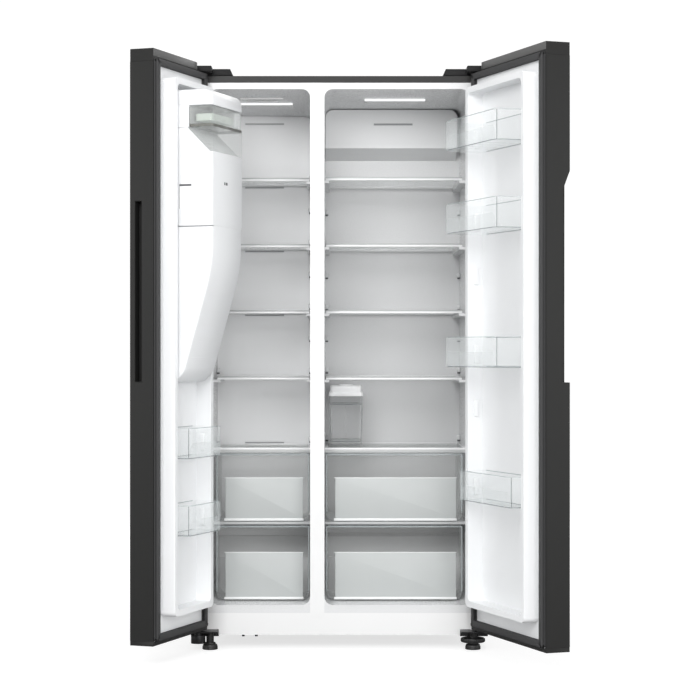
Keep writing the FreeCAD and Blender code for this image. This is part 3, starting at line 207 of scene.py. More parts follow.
# An open-topped bin with rounded corners. Its wall grows outwards from the box given.
def binInto(bm, low, high, wall, cornersRound, bottomRound=0.0, taper=0.0):
    part, corners = flatFace(rectangle(low, high), "z", low[2])
    for index, radius in enumerate(cornersRound):
        if radius:
            roundCorners(part, [corners[index]], radius)
    top = pushOut(part, (0, 0, high[2] - low[2]))
    if taper:
        middle = Vector(((low[0] + high[0]) / 2, (low[1] + high[1]) / 2, high[2]))
        bottom = [v for v in part.verts if v not in set(top)]
        space = Matrix.Translation(-middle)
        bmesh.ops.scale(part, vec=(1 - taper, 1 - taper / 2, 1), verts=bottom, space=space)
    cutFaces(part, lambda m: m.z > high[2] - 1e-5)
    if bottomRound:
        foot = edgesWhere(part, lambda m, d: m.z < low[2] + 1e-5)
        bevelEdges(part, foot, bottomRound, 4)
    bmesh.ops.recalc_face_normals(part, faces=part.faces[:])
    bmesh.ops.reverse_faces(part, faces=part.faces[:])
    bmesh.ops.solidify(part, geom=part.faces[:], thickness=wall)
    mergeInto(bm, part, walled=True)


# Makes the object, turns it with its door, and hands it to its body.
def finishPiece(bm, name, body, material, side=None, replaced=(), sharp=0.6):
    for face in bm.faces:
        face.smooth = True
    for edge in bm.edges:
        edge.smooth = edge.calc_face_angle(0) < sharp
    if side:
        bm.transform(doorTurn[side])
    mesh = bpy.data.meshes.new(name)
    bm.to_mesh(mesh)
    bm.free()
    mesh.materials.append(material)
    piece = bpy.data.objects.new(name, mesh)
    scene.collection.objects.link(piece)
    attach(piece, body)
    if replaced:
        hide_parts(*replaced)
    return piece


def addSocket(group, name, direction, kind, value=None):
    socket = group.interface.new_socket(name=name, in_out=direction, socket_type=kind)
    if value is not None:
        socket.default_value = value
    return socket


def blankMaterial(name):
    material = bpy.data.materials.new(name)
    material.use_nodes = True
    return material, material.node_tree.nodes, material.node_tree.links


def setInputs(node, values):
    for name, value in values.items():
        node.inputs[name].default_value = value


# Colour drift, roughness drift and relief from two noises of different size.
def buildSurfaceGroup():
    group = bpy.data.node_groups.new("surfaceDetail", "ShaderNodeTree")
    addSocket(group, "Color", "INPUT", "NodeSocketColor", (0.8, 0.8, 0.8, 1))
    for name, value in (("Drift Scale", 4.0), ("Grain Scale", 900.0), ("Color Drift", 0.04),
                        ("Roughness", 0.4),
                        ("Roughness Drift", 0.1)):
        addSocket(group, name, "INPUT", "NodeSocketFloat", value)
    addSocket(group, "Stretch", "INPUT", "NodeSocketVector", (1, 1, 1))
    addSocket(group, "Color", "OUTPUT", "NodeSocketColor")
    for name in ("Roughness", "Height"):
        addSocket(group, name, "OUTPUT", "NodeSocketFloat")
    nodes, links = group.nodes, group.links
    inside, outside = nodes.new("NodeGroupInput"), nodes.new("NodeGroupOutput")
    place = nodes.new("ShaderNodeTexCoord")
    stretch = nodes.new("ShaderNodeVectorMath")
    stretch.operation = "MULTIPLY"
    links.new(place.outputs["Object"], stretch.inputs[0])
    links.new(inside.outputs["Stretch"], stretch.inputs[1])
    drift, grain = nodes.new("ShaderNodeTexNoise"), nodes.new("ShaderNodeTexNoise")
    drift.inputs["Detail"].default_value = 3
    grain.inputs["Detail"].default_value = 2
    links.new(place.outputs["Object"], drift.inputs["Vector"])
    links.new(stretch.outputs["Vector"], grain.inputs["Vector"])
    links.new(inside.outputs["Drift Scale"], drift.inputs["Scale"])
    links.new(inside.outputs["Grain Scale"], grain.inputs["Scale"])

    # value + (noise - 0.5) * amount
    def swing(noise, base, amount):
        centred = nodes.new("ShaderNodeMath")
        centred.operation = "SUBTRACT"
        centred.inputs[1].default_value = 0.5
        links.new(noise.outputs["Fac"], centred.inputs[0])
        scaled = nodes.new("ShaderNodeMath")
        scaled.operation = "MULTIPLY_ADD"
        links.new(centred.outputs[0], scaled.inputs[0])
        links.new(amount, scaled.inputs[1])
        if base is None:
            scaled.inputs[2].default_value = 1.0
        else:
            links.new(base, scaled.inputs[2])
        return scaled.outputs[0]

    tone = nodes.new("ShaderNodeVectorMath")
    tone.operation = "SCALE"
    links.new(inside.outputs["Color"], tone.inputs[0])
    links.new(swing(drift, None, inside.outputs["Color Drift"]), tone.inputs["Scale"])
    links.new(tone.outputs["Vector"], outside.inputs["Color"])
    links.new(swing(grain, inside.outputs["Roughness"], inside.outputs["Roughness Drift"]),
              outside.inputs["Roughness"])
    links.new(grain.outputs["Fac"], outside.inputs["Height"])
    return group


surfaceGroup = buildSurfaceGroup()


# An opaque finish. stretch pulls the grain along an axis, relief is its height in the bump.
def newFinish(name, color, roughness=0.4, metallic=0.0, relief=0.05, driftScale=4.0, grainScale=900.0,
              colorDrift=0.05, roughDrift=0.12, stretch=(1, 1, 1), coat=0.0, specular=0.5, glow=0.0):
    material, nodes, links = blankMaterial(name)
    shader = nodes["Principled BSDF"]
    detail = nodes.new("ShaderNodeGroup")
    detail.node_tree = surfaceGroup
    setInputs(detail, {"Color": (*color, 1), "Drift Scale": driftScale, "Grain Scale": grainScale,
                       "Color Drift": colorDrift, "Roughness": roughness, "Roughness Drift": roughDrift,
                       "Stretch": stretch})
    bump = nodes.new("ShaderNodeBump")
    setInputs(bump, {"Strength": relief, "Distance": 0.0005})
    links.new(detail.outputs["Color"], shader.inputs["Base Color"])
    links.new(detail.outputs["Roughness"], shader.inputs["Roughness"])
    links.new(detail.outputs["Height"], bump.inputs["Height"])
    links.new(bump.outputs["Normal"], shader.inputs["Normal"])
    setInputs(shader, {"Metallic": metallic, "Coat Weight": coat, "Coat Roughness": 0.08,
                       "Specular IOR Level": specular})
    if glow:
        setInputs(shader, {"Emission Color": (*color, 1), "Emission Strength": glow})
    return material


# A see-through plastic or glass: thin where it is met square on, denser and darker edgewise.
def newClear(name, color, edgeColor, thin, dense, roughness=0.08, blendAt=0.35):
    material, nodes, links = blankMaterial(name)
    shader = nodes["Principled BSDF"]
    facing = nodes.new("ShaderNodeLayerWeight")
    facing.inputs["Blend"].default_value = blendAt
    tint = nodes.new("ShaderNodeMix")
    tint.data_type = "RGBA"
    setInputs(tint, {"A": (*color, 1), "B": (*edgeColor, 1)})
    density = nodes.new("ShaderNodeMapRange")
    setInputs(density, {"To Min": thin, "To Max": dense})
    detail = nodes.new("ShaderNodeGroup")
    detail.node_tree = surfaceGroup
    setInputs(detail, {"Drift Scale": 9.0, "Color Drift": 0.06, "Grain Scale": 60.0,
                       "Roughness": roughness, "Roughness Drift": roughness * 0.6})
    links.new(facing.outputs["Facing"], tint.inputs["Factor"])
    links.new(facing.outputs["Facing"], density.inputs["Value"])
    links.new(tint.outputs["Result"], detail.inputs["Color"])
    links.new(detail.outputs["Color"], shader.inputs["Base Color"])
    links.new(detail.outputs["Roughness"], shader.inputs["Roughness"])
    links.new(density.outputs["Result"], shader.inputs["Alpha"])
    shader.inputs["IOR"].default_value = 1.49
    return material


# Zinc sheet with large pale crystals.
def newSpangle(name, color, roughness):
    material = newFinish(name, color, roughness, metallic=0.75, relief=0.03, grainScale=300)
    nodes, links = material.node_tree.nodes, material.node_tree.links
    place, cells = nodes.new("ShaderNodeTexCoord"), nodes.new("ShaderNodeTexVoronoi")
    cells.inputs["Scale"].default_value = 70
    tone = nodes.new("ShaderNodeMapRange")
    setInputs(tone, {"To Min": 0.82, "To Max": 1.12})
    shade = nodes.new("ShaderNodeVectorMath")
    shade.operation = "SCALE"
    shade.inputs[0].default_value = color
    links.new(place.outputs["Object"], cells.inputs["Vector"])
    links.new(cells.outputs["Color"], tone.inputs["Value"])
    links.new(tone.outputs["Result"], shade.inputs["Scale"])
    links.new(shade.outputs["Vector"], nodes["Group"].inputs["Color"])
    return material


graphite = newFinish("graphiteCoat", (0.013, 0.013, 0.0125), 0.42, metallic=0.1, relief=0.16,
                     driftScale=2.2,
                     grainScale=420, colorDrift=0.25, roughDrift=0.16, stretch=(1, 1, 0.03), specular=0.3)
graphiteCap = newFinish("graphiteCap", (0.013, 0.013, 0.0125), 0.5, relief=0.2, grainScale=1500,
                        specular=0.25)
capEdge = newFinish("capEdge", (0.105, 0.105, 0.104), 0.5, relief=0.2, grainScale=1500, specular=0.4)
zinc = newSpangle("zincSheet", (0.52, 0.53, 0.54), 0.42)
blackSteel = newFinish("blackSteel", (0.012, 0.012, 0.013), 0.45, metallic=0.2, relief=0.3, grainScale=700)
hingeSteel = newFinish("hingeSteel", (0.02, 0.02, 0.021), 0.4, metallic=0.6, relief=0.12, grainScale=800)
finMetal = newFinish("finAluminium", (0.72, 0.73, 0.74), 0.32, metallic=0.95, relief=0.25, grainScale=260,
                     stretch=(6, 1, 0.05))
foamMass = newFinish("insulatingFoam", (0.80, 0.70, 0.42), 0.9, relief=0.8, grainScale=500, colorDrift=0.2)
whiteLiner = newFinish("whiteLiner", (0.75, 0.755, 0.76), 0.28, relief=0.05, driftScale=1.5, grainScale=350,
                       colorDrift=0.03, roughDrift=0.1, coat=0.15)
doorWhite = newFinish("doorWhite", (0.86, 0.87, 0.88), 0.3, relief=0.05, driftScale=1.5, grainScale=350,
                      colorDrift=0.02, roughDrift=0.1, coat=0.15)
whitePanel = newFinish("whiteMoulding", (0.80, 0.81, 0.82), 0.34, relief=0.10, grainScale=1400,
                       colorDrift=0.03)
backPanel = newFinish("backMoulding", (0.87, 0.875, 0.88), 0.36, relief=0.10, grainScale=1400,
                      colorDrift=0.03)
whiteSheet = newFinish("whiteEnamel", (0.86, 0.86, 0.86), 0.3, relief=0.04, grainScale=500, coat=0.2)
lampCover = newFinish("lampCover", (0.92, 0.92, 0.93), 0.3, relief=0.02, glow=0.75)
darkPlastic = newFinish("darkPlastic", (0.008, 0.008, 0.0085), 0.55, relief=0.35, grainScale=1800,
                        roughDrift=0.2,
                        specular=0.22)
footPlastic = newFinish("footPlastic", (0.012, 0.012, 0.012), 0.42, relief=0.3, grainScale=1500)
sealRubber = newFinish("sealRubber", (0.045, 0.045, 0.046), 0.62, relief=0.3, grainScale=1200, specular=0.3)
trayPlastic = newFinish("trayPlastic", (0.50, 0.56, 0.50), 0.45, relief=0.2, grainScale=900)
trimWhite = newFinish("shelfTrim", (0.88, 0.885, 0.89), 0.3, relief=0.02, coat=0.3)
# Grey copy of the white shelf trim: painted shade on the fronts of the shelf trims and the divider.
trimPaintedShade = newFinish("trimPaintedShade", (0.50, 0.51, 0.51), 0.35, relief=0.02)
# Near-black for strips of painted shade behind the shelf trims, under the shelf stops and in the ice bucket
# grips.
paintedShadeDark = newFinish("paintedShadeDark", (0.10, 0.105, 0.11), 0.6, relief=0.1)
slotShade = newFinish("slotShade", (0.36, 0.365, 0.37), 0.6, relief=0.1)
displayGlass = newFinish("displayGlass", (0.006, 0.006, 0.007), 0.08, relief=0.01, coat=1.0)
iconPrint = newFinish("iconPrint", (0.62, 0.66, 0.68), 0.5, relief=0.02, glow=0.25)
screwMetal = newFinish("screwMetal", (0.03, 0.03, 0.032), 0.35, metallic=0.8, relief=0.2, grainScale=900)
clearBin = newClear("clearBin", (0.90, 0.94, 0.94), (0.62, 0.68, 0.69), 0.04, 0.30, 0.06, 0.2)
binRim = newClear("clearBinRim", (0.55, 0.60, 0.61), (0.30, 0.35, 0.36), 0.45, 0.85, 0.10)
binEdge = newClear("clearBinEdge", (0.16, 0.20, 0.21), (0.08, 0.11, 0.12), 0.62, 0.95, 0.10)
frosted = newClear("frostedPanel", (0.62, 0.645, 0.64), (0.54, 0.58, 0.575), 0.80, 0.97, 0.38)
bandPlastic = newFinish("bandPlastic", (0.88, 0.89, 0.89), 0.3, relief=0.03)
drawerClear = newClear("drawerClear", (0.93, 0.945, 0.94), (0.66, 0.70, 0.695), 0.05, 0.45, 0.12)
shelfGlass = newClear("shelfGlass", (0.86, 0.90, 0.89), (0.66, 0.70, 0.69), 0.05, 0.42, 0.12)
jugPlastic = newClear("jugPlastic", (0.92, 0.93, 0.935), (0.42, 0.44, 0.45), 0.05, 0.62, 0.08, 0.25)
# The lid glows a little: painted light, to brighten it where it stands in shade.
lidWhitePaintedGlow = newFinish("lidWhitePaintedGlow", (0.92, 0.925, 0.93), 0.3, relief=0.06, grainScale=1400, glow=0.12)
hopperPlastic = newClear("hopperPlastic", (0.86, 0.88, 0.87), (0.52, 0.55, 0.54), 0.08, 0.6, 0.05, 0.25)
hopperRim = newClear("hopperRim", (0.22, 0.22, 0.20), (0.10, 0.10, 0.09), 0.6, 0.95, 0.12)
print("materials made")


# The CAD nodes that take each finish. The others are clear plastic.
nodeFinish = {}
for finish, names in (
    (graphite, "cabinet_wrapper left_door_skin right_door_skin"),
    (zinc, "back_panel base_pan compressor_cover"),
    (foamMass, "cabinet_foam left_door_foam right_door_foam"),
    (whiteLiner, "freezer_liner fridge_liner"),
    (doorWhite, "left_door_liner right_door_liner"),
    (whiteSheet, "mullion_cover plinth"),
    (backPanel, "evaporator_cover air_duct"),
    (whitePanel, "ice_housing ice_motor evaporator_fan ice_bucket"),
    (lampCover, "ceiling_lamps"),
    (blackSteel, "compressor condenser"),
    (finMetal, "evaporator"),
    (darkPlastic, "hinge_covers dispenser_niche dispenser_paddle condenser_fan drain_tray"),
    (graphiteCap, "left_door_caps right_door_caps left_grip right_grip"),
    (hingeSteel, "top_hinges bottom_hinges"),
    (screwMetal, "screws"),
    (trimWhite, "freezer_shelf_frames fridge_shelf_frames"),
    (shelfGlass, "shelf_glass"),
    (jugPlastic, "water_tank"),
    (lidWhitePaintedGlow, "tank_lid"),
    (hopperPlastic, "ice_cover"),
    (sealRubber, "left_door_gasket right_door_gasket"),
    (trayPlastic, "ice_tray"),
    (footPlastic, "left_foot right_foot left_roller right_roller"),
):
    nodeFinish.update({name: finish for name in names.split()})

edgeRounds = {
    "cabinet_wrapper": 0.0003, "left_door_caps": 0.0012, "right_door_caps": 0.0012, "left_grip": 0.0008,
    "right_grip": 0.0008, "air_duct": 0.004, "bottom_hinges": 0.0012, "top_hinges": 0.001, "screws": 0.0008,
    "left_door_liner": 0.004, "right_door_liner": 0.004, "left_roller": 0.002, "right_roller": 0.002,
    "compressor": 0.0015, "ice_motor": 0.003, "ice_tray": 0.001,
    "drain_tray": 0.0008, "condenser_fan": 0.0008, "evaporator_fan": 0.0008,
}
for nodeName, node in frame["nodes"].items():
    material = nodeFinish.get(nodeName, clearBin)
    node.data.materials.clear()
    node.data.materials.append(material)
    if nodeName in edgeRounds:
        weld = node.modifiers.new("Weld", "WELD")
        weld.merge_threshold = 0.00002
        bevel = node.modifiers.new("Bevel", "BEVEL")
        bevel.width = edgeRounds[nodeName]
        bevel.segments = 2
        bevel.limit_method = "ANGLE"
        bevel.angle_limit = math.radians(50)
        bevel.use_clamp_overlap = True
print("CAD nodes finished")


lugForm = {"width": 0.014, "depth": 0.006, "height": 0.052, "below": 0.034, "spareBelow": 0.150}
doorRacks = {
    "left": ["freezer_rack_1", "freezer_rack_2"],
    "right": ["fridge_rack_1", "fridge_rack_2", "fridge_rack_3", "fridge_rack_4"],
}


# Lugs inside the rim that the racks hang on, and spare ones lower down for moving a rack.
def makeLugs(side, form):
    bm = bmesh.new()
    crest = shutBox(side, side + "_door_liner")[1].y
    y = crest - form["below"]
    for rack in doorRacks[side]:
        low, high = shutBox(side, rack)
        heights = [low.z + 0.012]
        if rack in ("fridge_rack_2", "fridge_rack_3"):
            heights.append(low.z - form["spareBelow"])
        for z in heights:
            for x in (low.x - 0.001, high.x + 0.001 - form["depth"]):
                boxInto(bm, (x, y, z), (x + form["depth"], y + form["width"], z + form["height"]), 0.002, 3)
    finishPiece(bm, side + "DoorLugs", side + "_door", doorWhite, side)


sealForm = {"foot": 0.004, "waistIn": 0.004, "waist": 0.0055, "lip": 0.004, "corner": 0.006}


# A magnetic seal: a foot in the liner, a narrower bellows and a broad lip.
def makeSeal(side, form):
    low, high = shutBox(side, side + "_door_gasket")
    width = 0.018
    bm = bmesh.new()
    y = low.y
    ringInto(bm, "y", (low.x, low.z), (high.x, high.z), width, form["corner"], y, y + form["foot"], 0.0008)
    inset = form["waistIn"]
    ringInto(bm, "y", (low.x + inset, low.z + inset), (high.x - inset, high.z - inset), width - 2 * inset,
             form["corner"], y + form["foot"], y + form["foot"] + form["waist"])
    ringInto(bm, "y", (low.x, low.z), (high.x, high.z), width, form["corner"],
             y + form["foot"] + form["waist"], high.y, 0.0015)
    finishPiece(bm, side + "DoorSeal", side + "_door", sealRubber, side, [side + "_door_gasket"])


for side in ("left", "right"):
    makeLugs(side, lugForm)
    makeSeal(side, sealForm)
print("door lugs and seals made")


rackForm = {"wall": 0.0022, "corner": 0.022, "foot": 0.003, "rimOut": 0.0006, "bead": 0.0018,
            "endPlate": 0.012,
            "innerHeight": 0.044, "innerSlope": 0.016, "ribCount": 5}


def makeRack(side, node, form):
    low, high = shutBox(side, node)
    body = side + "_door"
    shell = bmesh.new()
    corners = (0, 0, form["corner"], form["corner"])
    inset = form["rimOut"]
    binInto(shell, (low.x + inset, low.y + inset, low.z + 0.0006),
            (high.x - inset, high.y - inset, high.z - 0.001),
            form["wall"], corners, form["foot"])
    finishPiece(shell, node + "Bin", body, clearBin, side, [node])
    edges, lips = bmesh.new(), bmesh.new()
    hidden = Vector((0, form["bead"], 0))
    beadRing(edges, low - hidden, high, form["corner"], form["bead"], low.z, low.z + form["bead"])
    beadRing(lips, low - hidden, high, form["corner"], form["wall"] + inset, high.z - form["bead"], high.z)
    x = high.x - form["bead"] if side == "left" else low.x
    for y in (low.y + 0.0005, low.y + form["endPlate"]):
        boxInto(edges, (x, y, low.z + 0.001), (x + form["bead"], y + form["bead"], high.z - 0.002), 0.0006)
    x = high.x - 0.006 if side == "left" else low.x + 0.0045
    y = high.y - form["corner"] * 0.32
    boxInto(edges, (x, y, low.z + 0.002), (x + form["bead"], y + form["bead"], high.z - 0.002), 0.0006)
    # the stretch nearest the hinge keeps no bead
    cut = Vector((low.x + 0.03, 0, 0)) if side == "left" else Vector((high.x - 0.03, 0, 0))
    away = Vector((-1, 0, 0)) if side == "left" else Vector((1, 0, 0))
    for bm in (edges, lips):
        bmesh.ops.bisect_plane(bm, geom=bm.verts[:] + bm.edges[:] + bm.faces[:], plane_co=cut,
                               plane_no=away,
                               clear_outer=True)
        bmesh.ops.holes_fill(bm, edges=[e for e in bm.edges if e.is_boundary])
    finishPiece(edges, node + "Edges", body, binEdge, side)
    finishPiece(lips, node + "Lip", body, binRim, side)
    panel = bmesh.new()
    x0, x1 = low.x + 0.012, high.x - 0.012
    z0, z1 = low.z + 0.003, low.z + form["innerHeight"]
    slope = form["innerSlope"]
    front = high.y - form["wall"] - inset - 0.0022
    prismInto(panel, [(x0, z0), (x1, z0), (x1, z1 - slope), (x1 - slope, z1), (x0 + slope, z1),
                      (x0, z1 - slope)],
              "y", front, front + 0.0018, {2: 0.006, 3: 0.006, 4: 0.006, 5: 0.006}, 0.0005)
    step = (high.x - low.x) / (form["ribCount"] + 1)
    for k in range(form["ribCount"]):
        x = low.x + step * (k + 1)
        boxInto(panel, (x, low.y + 0.008, low.z + form["wall"]),
                (x + 0.0016, high.y - 0.010, low.z + 0.006), 0.0005)
    finishPiece(panel, node + "Panel", body, clearBin, side)


# A thin bead that follows a bin's outline, square at the back and round at the front.
def beadRing(bm, low, high, corner, width, z0, z1):
    part, corners = flatFace(rectangle(low, high), "z", z0)
    for vert in corners[2:]:
        roundCorners(part, [vert], corner)
    keepBand(part, width)
    pushOut(part, (0, 0, z1 - z0))
    mergeInto(bm, part)


for side, nodes in doorRacks.items():
    for node in nodes:
        makeRack(side, node, rackForm)
print("door racks made")


shelfForm = {"trimDepth": 0.014, "trimRound": 0.0018, "rearDepth": 0.010, "rearHeight": 0.007,
             "sideWidth": 0.009,
             "front": {"freezer": 0.150, "fridge": 0.118},
             "sideGaps": {"freezer": (0.014, 0.004), "fridge": (0.004, 0.014)},
             "coverTop": 0.609, "dividerTop": 0.379}
spareUp = 0.104  # a spare shelf place stands this far over each shelf
shelfTops = [1.455 - 0.2077 * k for k in range(4)]


def makeShelves(space, form):
    low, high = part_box(space + "_shelf_frames")
    liner = {"freezer": (-0.398, -0.0895), "fridge": (-0.046, 0.398)}[space]
    gaps = form["sideGaps"][space]
    narrow = (liner[0] + gaps[0], liner[1] - gaps[1])
    front = form["front"][space]
    back = high.y
    trims, glass, shadeStrips, shades = bmesh.new(), bmesh.new(), bmesh.new(), bmesh.new()
    # Each front trim is split into a white band and a grey band of painted shade on the same face.
    levels = [(top, (-0.011, -0.0045), (-0.0047, 0.0), front, narrow) for top in shelfTops]
    levels.append((form["coverTop"], (-0.0065, 0.0), (-0.016, -0.0063), low.y, liner))
    for top, bright, shadeBand, y0, (x0, x1) in levels:
        for bm, (foot, head) in ((trims, bright), (shades, shadeBand)):
            boxInto(bm, (x0, y0, top + foot), (x1, y0 + form["trimDepth"], top + head), form["trimRound"],
                    3)
        boxInto(trims, (x0, back - form["rearDepth"], top - form["rearHeight"]), (x1, back, top), 0.0015)
        for x in (x0, x1 - form["sideWidth"]):
            boxInto(trims, (x, y0 + form["trimDepth"], top - 0.009),
                    (x + form["sideWidth"], back - 0.009, top - 0.001),
                    0.0015)
        boxInto(glass, (x0 + form["sideWidth"] - 0.001, y0 + form["trimDepth"] - 0.002, top - 0.0055),
                (x1 - form["sideWidth"] + 0.001, back - form["rearDepth"] + 0.001, top - 0.0015), 0.0006, 1)
        # A dark strip of painted shade behind each front trim, and one along the foot of the divider's front.
        boxInto(shadeStrips, (x0 + 0.003, y0 + form["trimDepth"] - 0.0004, top - 0.0060),
                (x1 - 0.003, y0 + form["trimDepth"] + 0.0016, top - 0.0008), 0.0004, 1)
    top = form["dividerTop"]
    # The divider's front is grey all over, painted shade.
    boxInto(shades, (liner[0], low.y, top - 0.011), (liner[1], low.y + 0.02, top), 0.003, 3)
    boxInto(shadeStrips, (liner[0], low.y - 0.0004, top - 0.0108), (liner[1], low.y + 0.004, top - 0.0088),
            0.0004, 1)
    boxInto(trims, (liner[0], low.y + 0.02, top - 0.010), (liner[1], back, top - 0.002), 0.001)
    finishPiece(trims, space + "ShelfTrims", "cabinet", trimWhite, None,
                [space + "_shelf_frames", "shelf_glass"])
    finishPiece(glass, space + "ShelfPanes", "cabinet", shelfGlass)
    finishPiece(shadeStrips, space + "ShelfShadeStrips", "cabinet", paintedShadeDark)
    finishPiece(shades, space + "ShelfTrimShades", "cabinet", trimPaintedShade)
    makeBrackets(space, liner, back)


# Small stops on both side walls over the rear end of each shelf and of each spare shelf place, each with a
# dark strip of painted shade under it.
def makeBrackets(space, liner, back):
    bm, stopShades = bmesh.new(), bmesh.new()
    for top in shelfTops + [top + spareUp for top in shelfTops[1:]] + [shelfForm["coverTop"]]:
        for wall, sign in ((liner[0], 1), (liner[1], -1)):
            x0, x1 = sorted((wall, wall + sign * 0.011))
            boxInto(bm, (x0, back - 0.032, top + 0.009), (x1, back - 0.014, top + 0.025), 0.004, 3)
            x0, x1 = sorted((wall, wall + sign * 0.009))
            boxInto(stopShades, (x0, back - 0.030, top + 0.0045), (x1, back - 0.016, top + 0.0095), 0.001)
    finishPiece(bm, space + "ShelfStops", "cabinet", whiteLiner)
    finishPiece(stopShades, space + "ShelfStopShades", "cabinet", paintedShadeDark)


for space in ("freezer", "fridge"):
    makeShelves(space, shelfForm)
print("shelves made")


drawerForm = {"wall": 0.0024, "side": 0.024, "edge": 0.006, "panelShare": 0.64, "panelLeft": 0.029,
              "panelRight": 0.020, "rimWidth": 0.006, "rimHeight": 0.005}


def makeDrawer(node, form):
    low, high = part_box(node)
    wall = form["wall"]
    tub = bmesh.new()
    part, corners = flatFace(rectangle((low.x, low.z), (high.x, high.z)), "y", low.y)
    for vert in corners[:2]:
        roundCorners(part, [vert], form["side"], 7)
    pushOut(part, (0, high.y - low.y, 0))
    cutFaces(part, lambda m: m.z > high.z - 1e-5)
    fronts = edgesWhere(part, lambda m, d: m.y < low.y + 1e-5 and m.z < high.z - 1e-5)
    bevelEdges(part, fronts, form["edge"], 3)
    bmesh.ops.recalc_face_normals(part, faces=part.faces[:])
    middle = (low + high) / 2
    if sum((f.normal.dot(f.calc_center_median() - middle) > 0) * 2 - 1 for f in part.faces) < 0:
        bmesh.ops.reverse_faces(part, faces=part.faces[:])
    bmesh.ops.solidify(part, geom=part.faces[:], thickness=wall)
    mergeInto(tub, part, walled=True)
    finishPiece(tub, node + "Tub", node, drawerClear, None, [node])
    panel = bmesh.new()
    split = low.z + form["panelShare"] * (high.z - low.z)
    x0, x1 = low.x + form["panelLeft"], high.x - form["panelRight"]
    prismInto(panel, [(x0, low.z + 0.008), (x1, low.z + 0.008), (x1, split), (x0, split)], "y",
              low.y - 0.0014, low.y + 0.0004, {0: 0.006, 1: 0.006}, 0.0008)
    band = bmesh.new()
    boxInto(band, (x0 - 0.004, low.y - 0.0018, low.z + 0.0015),
            (x1 + 0.002, low.y + 0.0006, low.z + 0.0095), 0.0009)
    boxInto(band, (x0 - 0.004, low.y - 0.0016, split - 0.0005),
            (x1 + 0.002, low.y + 0.0002, split + 0.0017), 0.0006)
    finishPiece(band, node + "Band", node, bandPlastic)
    finishPiece(panel, node + "Panel", node, frosted)
    rim = bmesh.new()
    ringInto(rim, "z", (low.x, low.y), (high.x, high.y), form["rimWidth"], 0.004,
             high.z - form["rimHeight"],
             high.z, 0.001)
    for x in (low.x, high.x - 0.0045):
        boxInto(rim, (x, low.y - 0.0006, low.z + 0.026), (x + 0.0045, low.y + 0.004, high.z - 0.002),
                0.0015)
    boxInto(rim, (low.x + 0.016, high.y - 0.004, high.z - 0.016),
            (high.x - 0.030, high.y - 0.0025, high.z - 0.013), 0.0006)
    finishPiece(rim, node + "Rim", node, binRim)


for space in ("freezer", "fridge"):
    for level in ("upper", "lower"):
        makeDrawer(f"{space}_drawer_{level}", drawerForm)
print("drawers made")


tankForm = {"wall": 0.0025, "corner": 0.010, "taper": 0.075, "collar": 0.012, "lidSlope": 0.005}


def makeTank(form):
    low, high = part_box("water_tank")
    bm = bmesh.new()
    binInto(bm, low, high, form["wall"], (form["corner"],) * 4, 0.005, form["taper"])
    middle = (low.x + high.x) / 2
    boxInto(bm, (middle - 0.0012, low.y + 0.0006, low.z + 0.014),
            (middle + 0.0012, low.y + 0.006, high.z - 0.030),
            0.0008)
    finishPiece(bm, "waterTankBody", "water_tank", jugPlastic, None, ["water_tank"])
    bands = bmesh.new()
    for z, out in ((high.z - 0.027, 0.0012), (low.z + 0.010, 0.0)):
        share = form["taper"] / 2 * (high.z - z) / (high.z - low.z)
        inset = share * (high.x - low.x) - out * 0.2
        ringInto(bands, "z", (low.x + inset, low.y + inset / 2), (high.x - inset, high.y - inset / 2),
                 0.003,
                 form["corner"], z, z + 0.002)
    # Dark bars at the front corners: a painted dark outline for where the clear jug is seen edge-on.
    for x in (low.x + 0.0002, high.x - 0.0014):
        corner = [(x, low.z + 0.012), (x + 0.0012, low.z + 0.012), (x + 0.0012, high.z), (x, high.z)]
        lean = form["taper"] / 2 * (high.x - low.x) * (1 if x < middle else -1)
        corner[0] = (corner[0][0] + lean, corner[0][1])
        corner[1] = (corner[1][0] + lean, corner[1][1])
        prismInto(bands, corner, "y", low.y + 0.008, low.y + 0.010)
    finishPiece(bands, "waterTankBandsAndPaintedOutline", "water_tank", binEdge)
    lidLow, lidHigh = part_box("tank_lid")
    lid = bmesh.new()
    step = lidLow.z + form["collar"]
    prismInto(lid, [(lidLow.x, lidLow.y), (lidHigh.x, lidLow.y), (lidHigh.x, lidHigh.y),
                    (lidLow.x, lidHigh.y)],
              "z", lidLow.z, step, {k: form["corner"] for k in range(4)}, 0.002)
    s = form["lidSlope"]
    prismInto(lid, [(lidLow.x + s, lidLow.y + s), (lidHigh.x - s, lidLow.y + s),
                    (lidHigh.x - s, lidHigh.y - s),
                    (lidLow.x + s, lidHigh.y - s)], "z", step - 0.001, lidHigh.z - 0.004,
              {k: form["corner"] for k in range(4)}, 0.003)
    rodInto(lid, (middle, (lidLow.y + lidHigh.y) / 2, lidHigh.z - 0.004), "z", 0.022, 0.008, 40, 0.0015)
    boxInto(lid, (middle - 0.020, lidLow.y + 0.006, step + 0.006),
            (middle + 0.020, lidLow.y + 0.016, lidHigh.z - 0.006),
            0.003, 3)
    finishPiece(lid, "waterTankLid", "tank_lid", lidWhitePaintedGlow, None, ["tank_lid"])


makeTank(tankForm)
print("water tank made")


iceForm = {"edge": 0.010, "chamfer": 0.030, "breakUp": 1.155, "toeUp": 0.842, "notchUp": 0.072,
           "notchIn": 0.076, "wall": 0.0025}


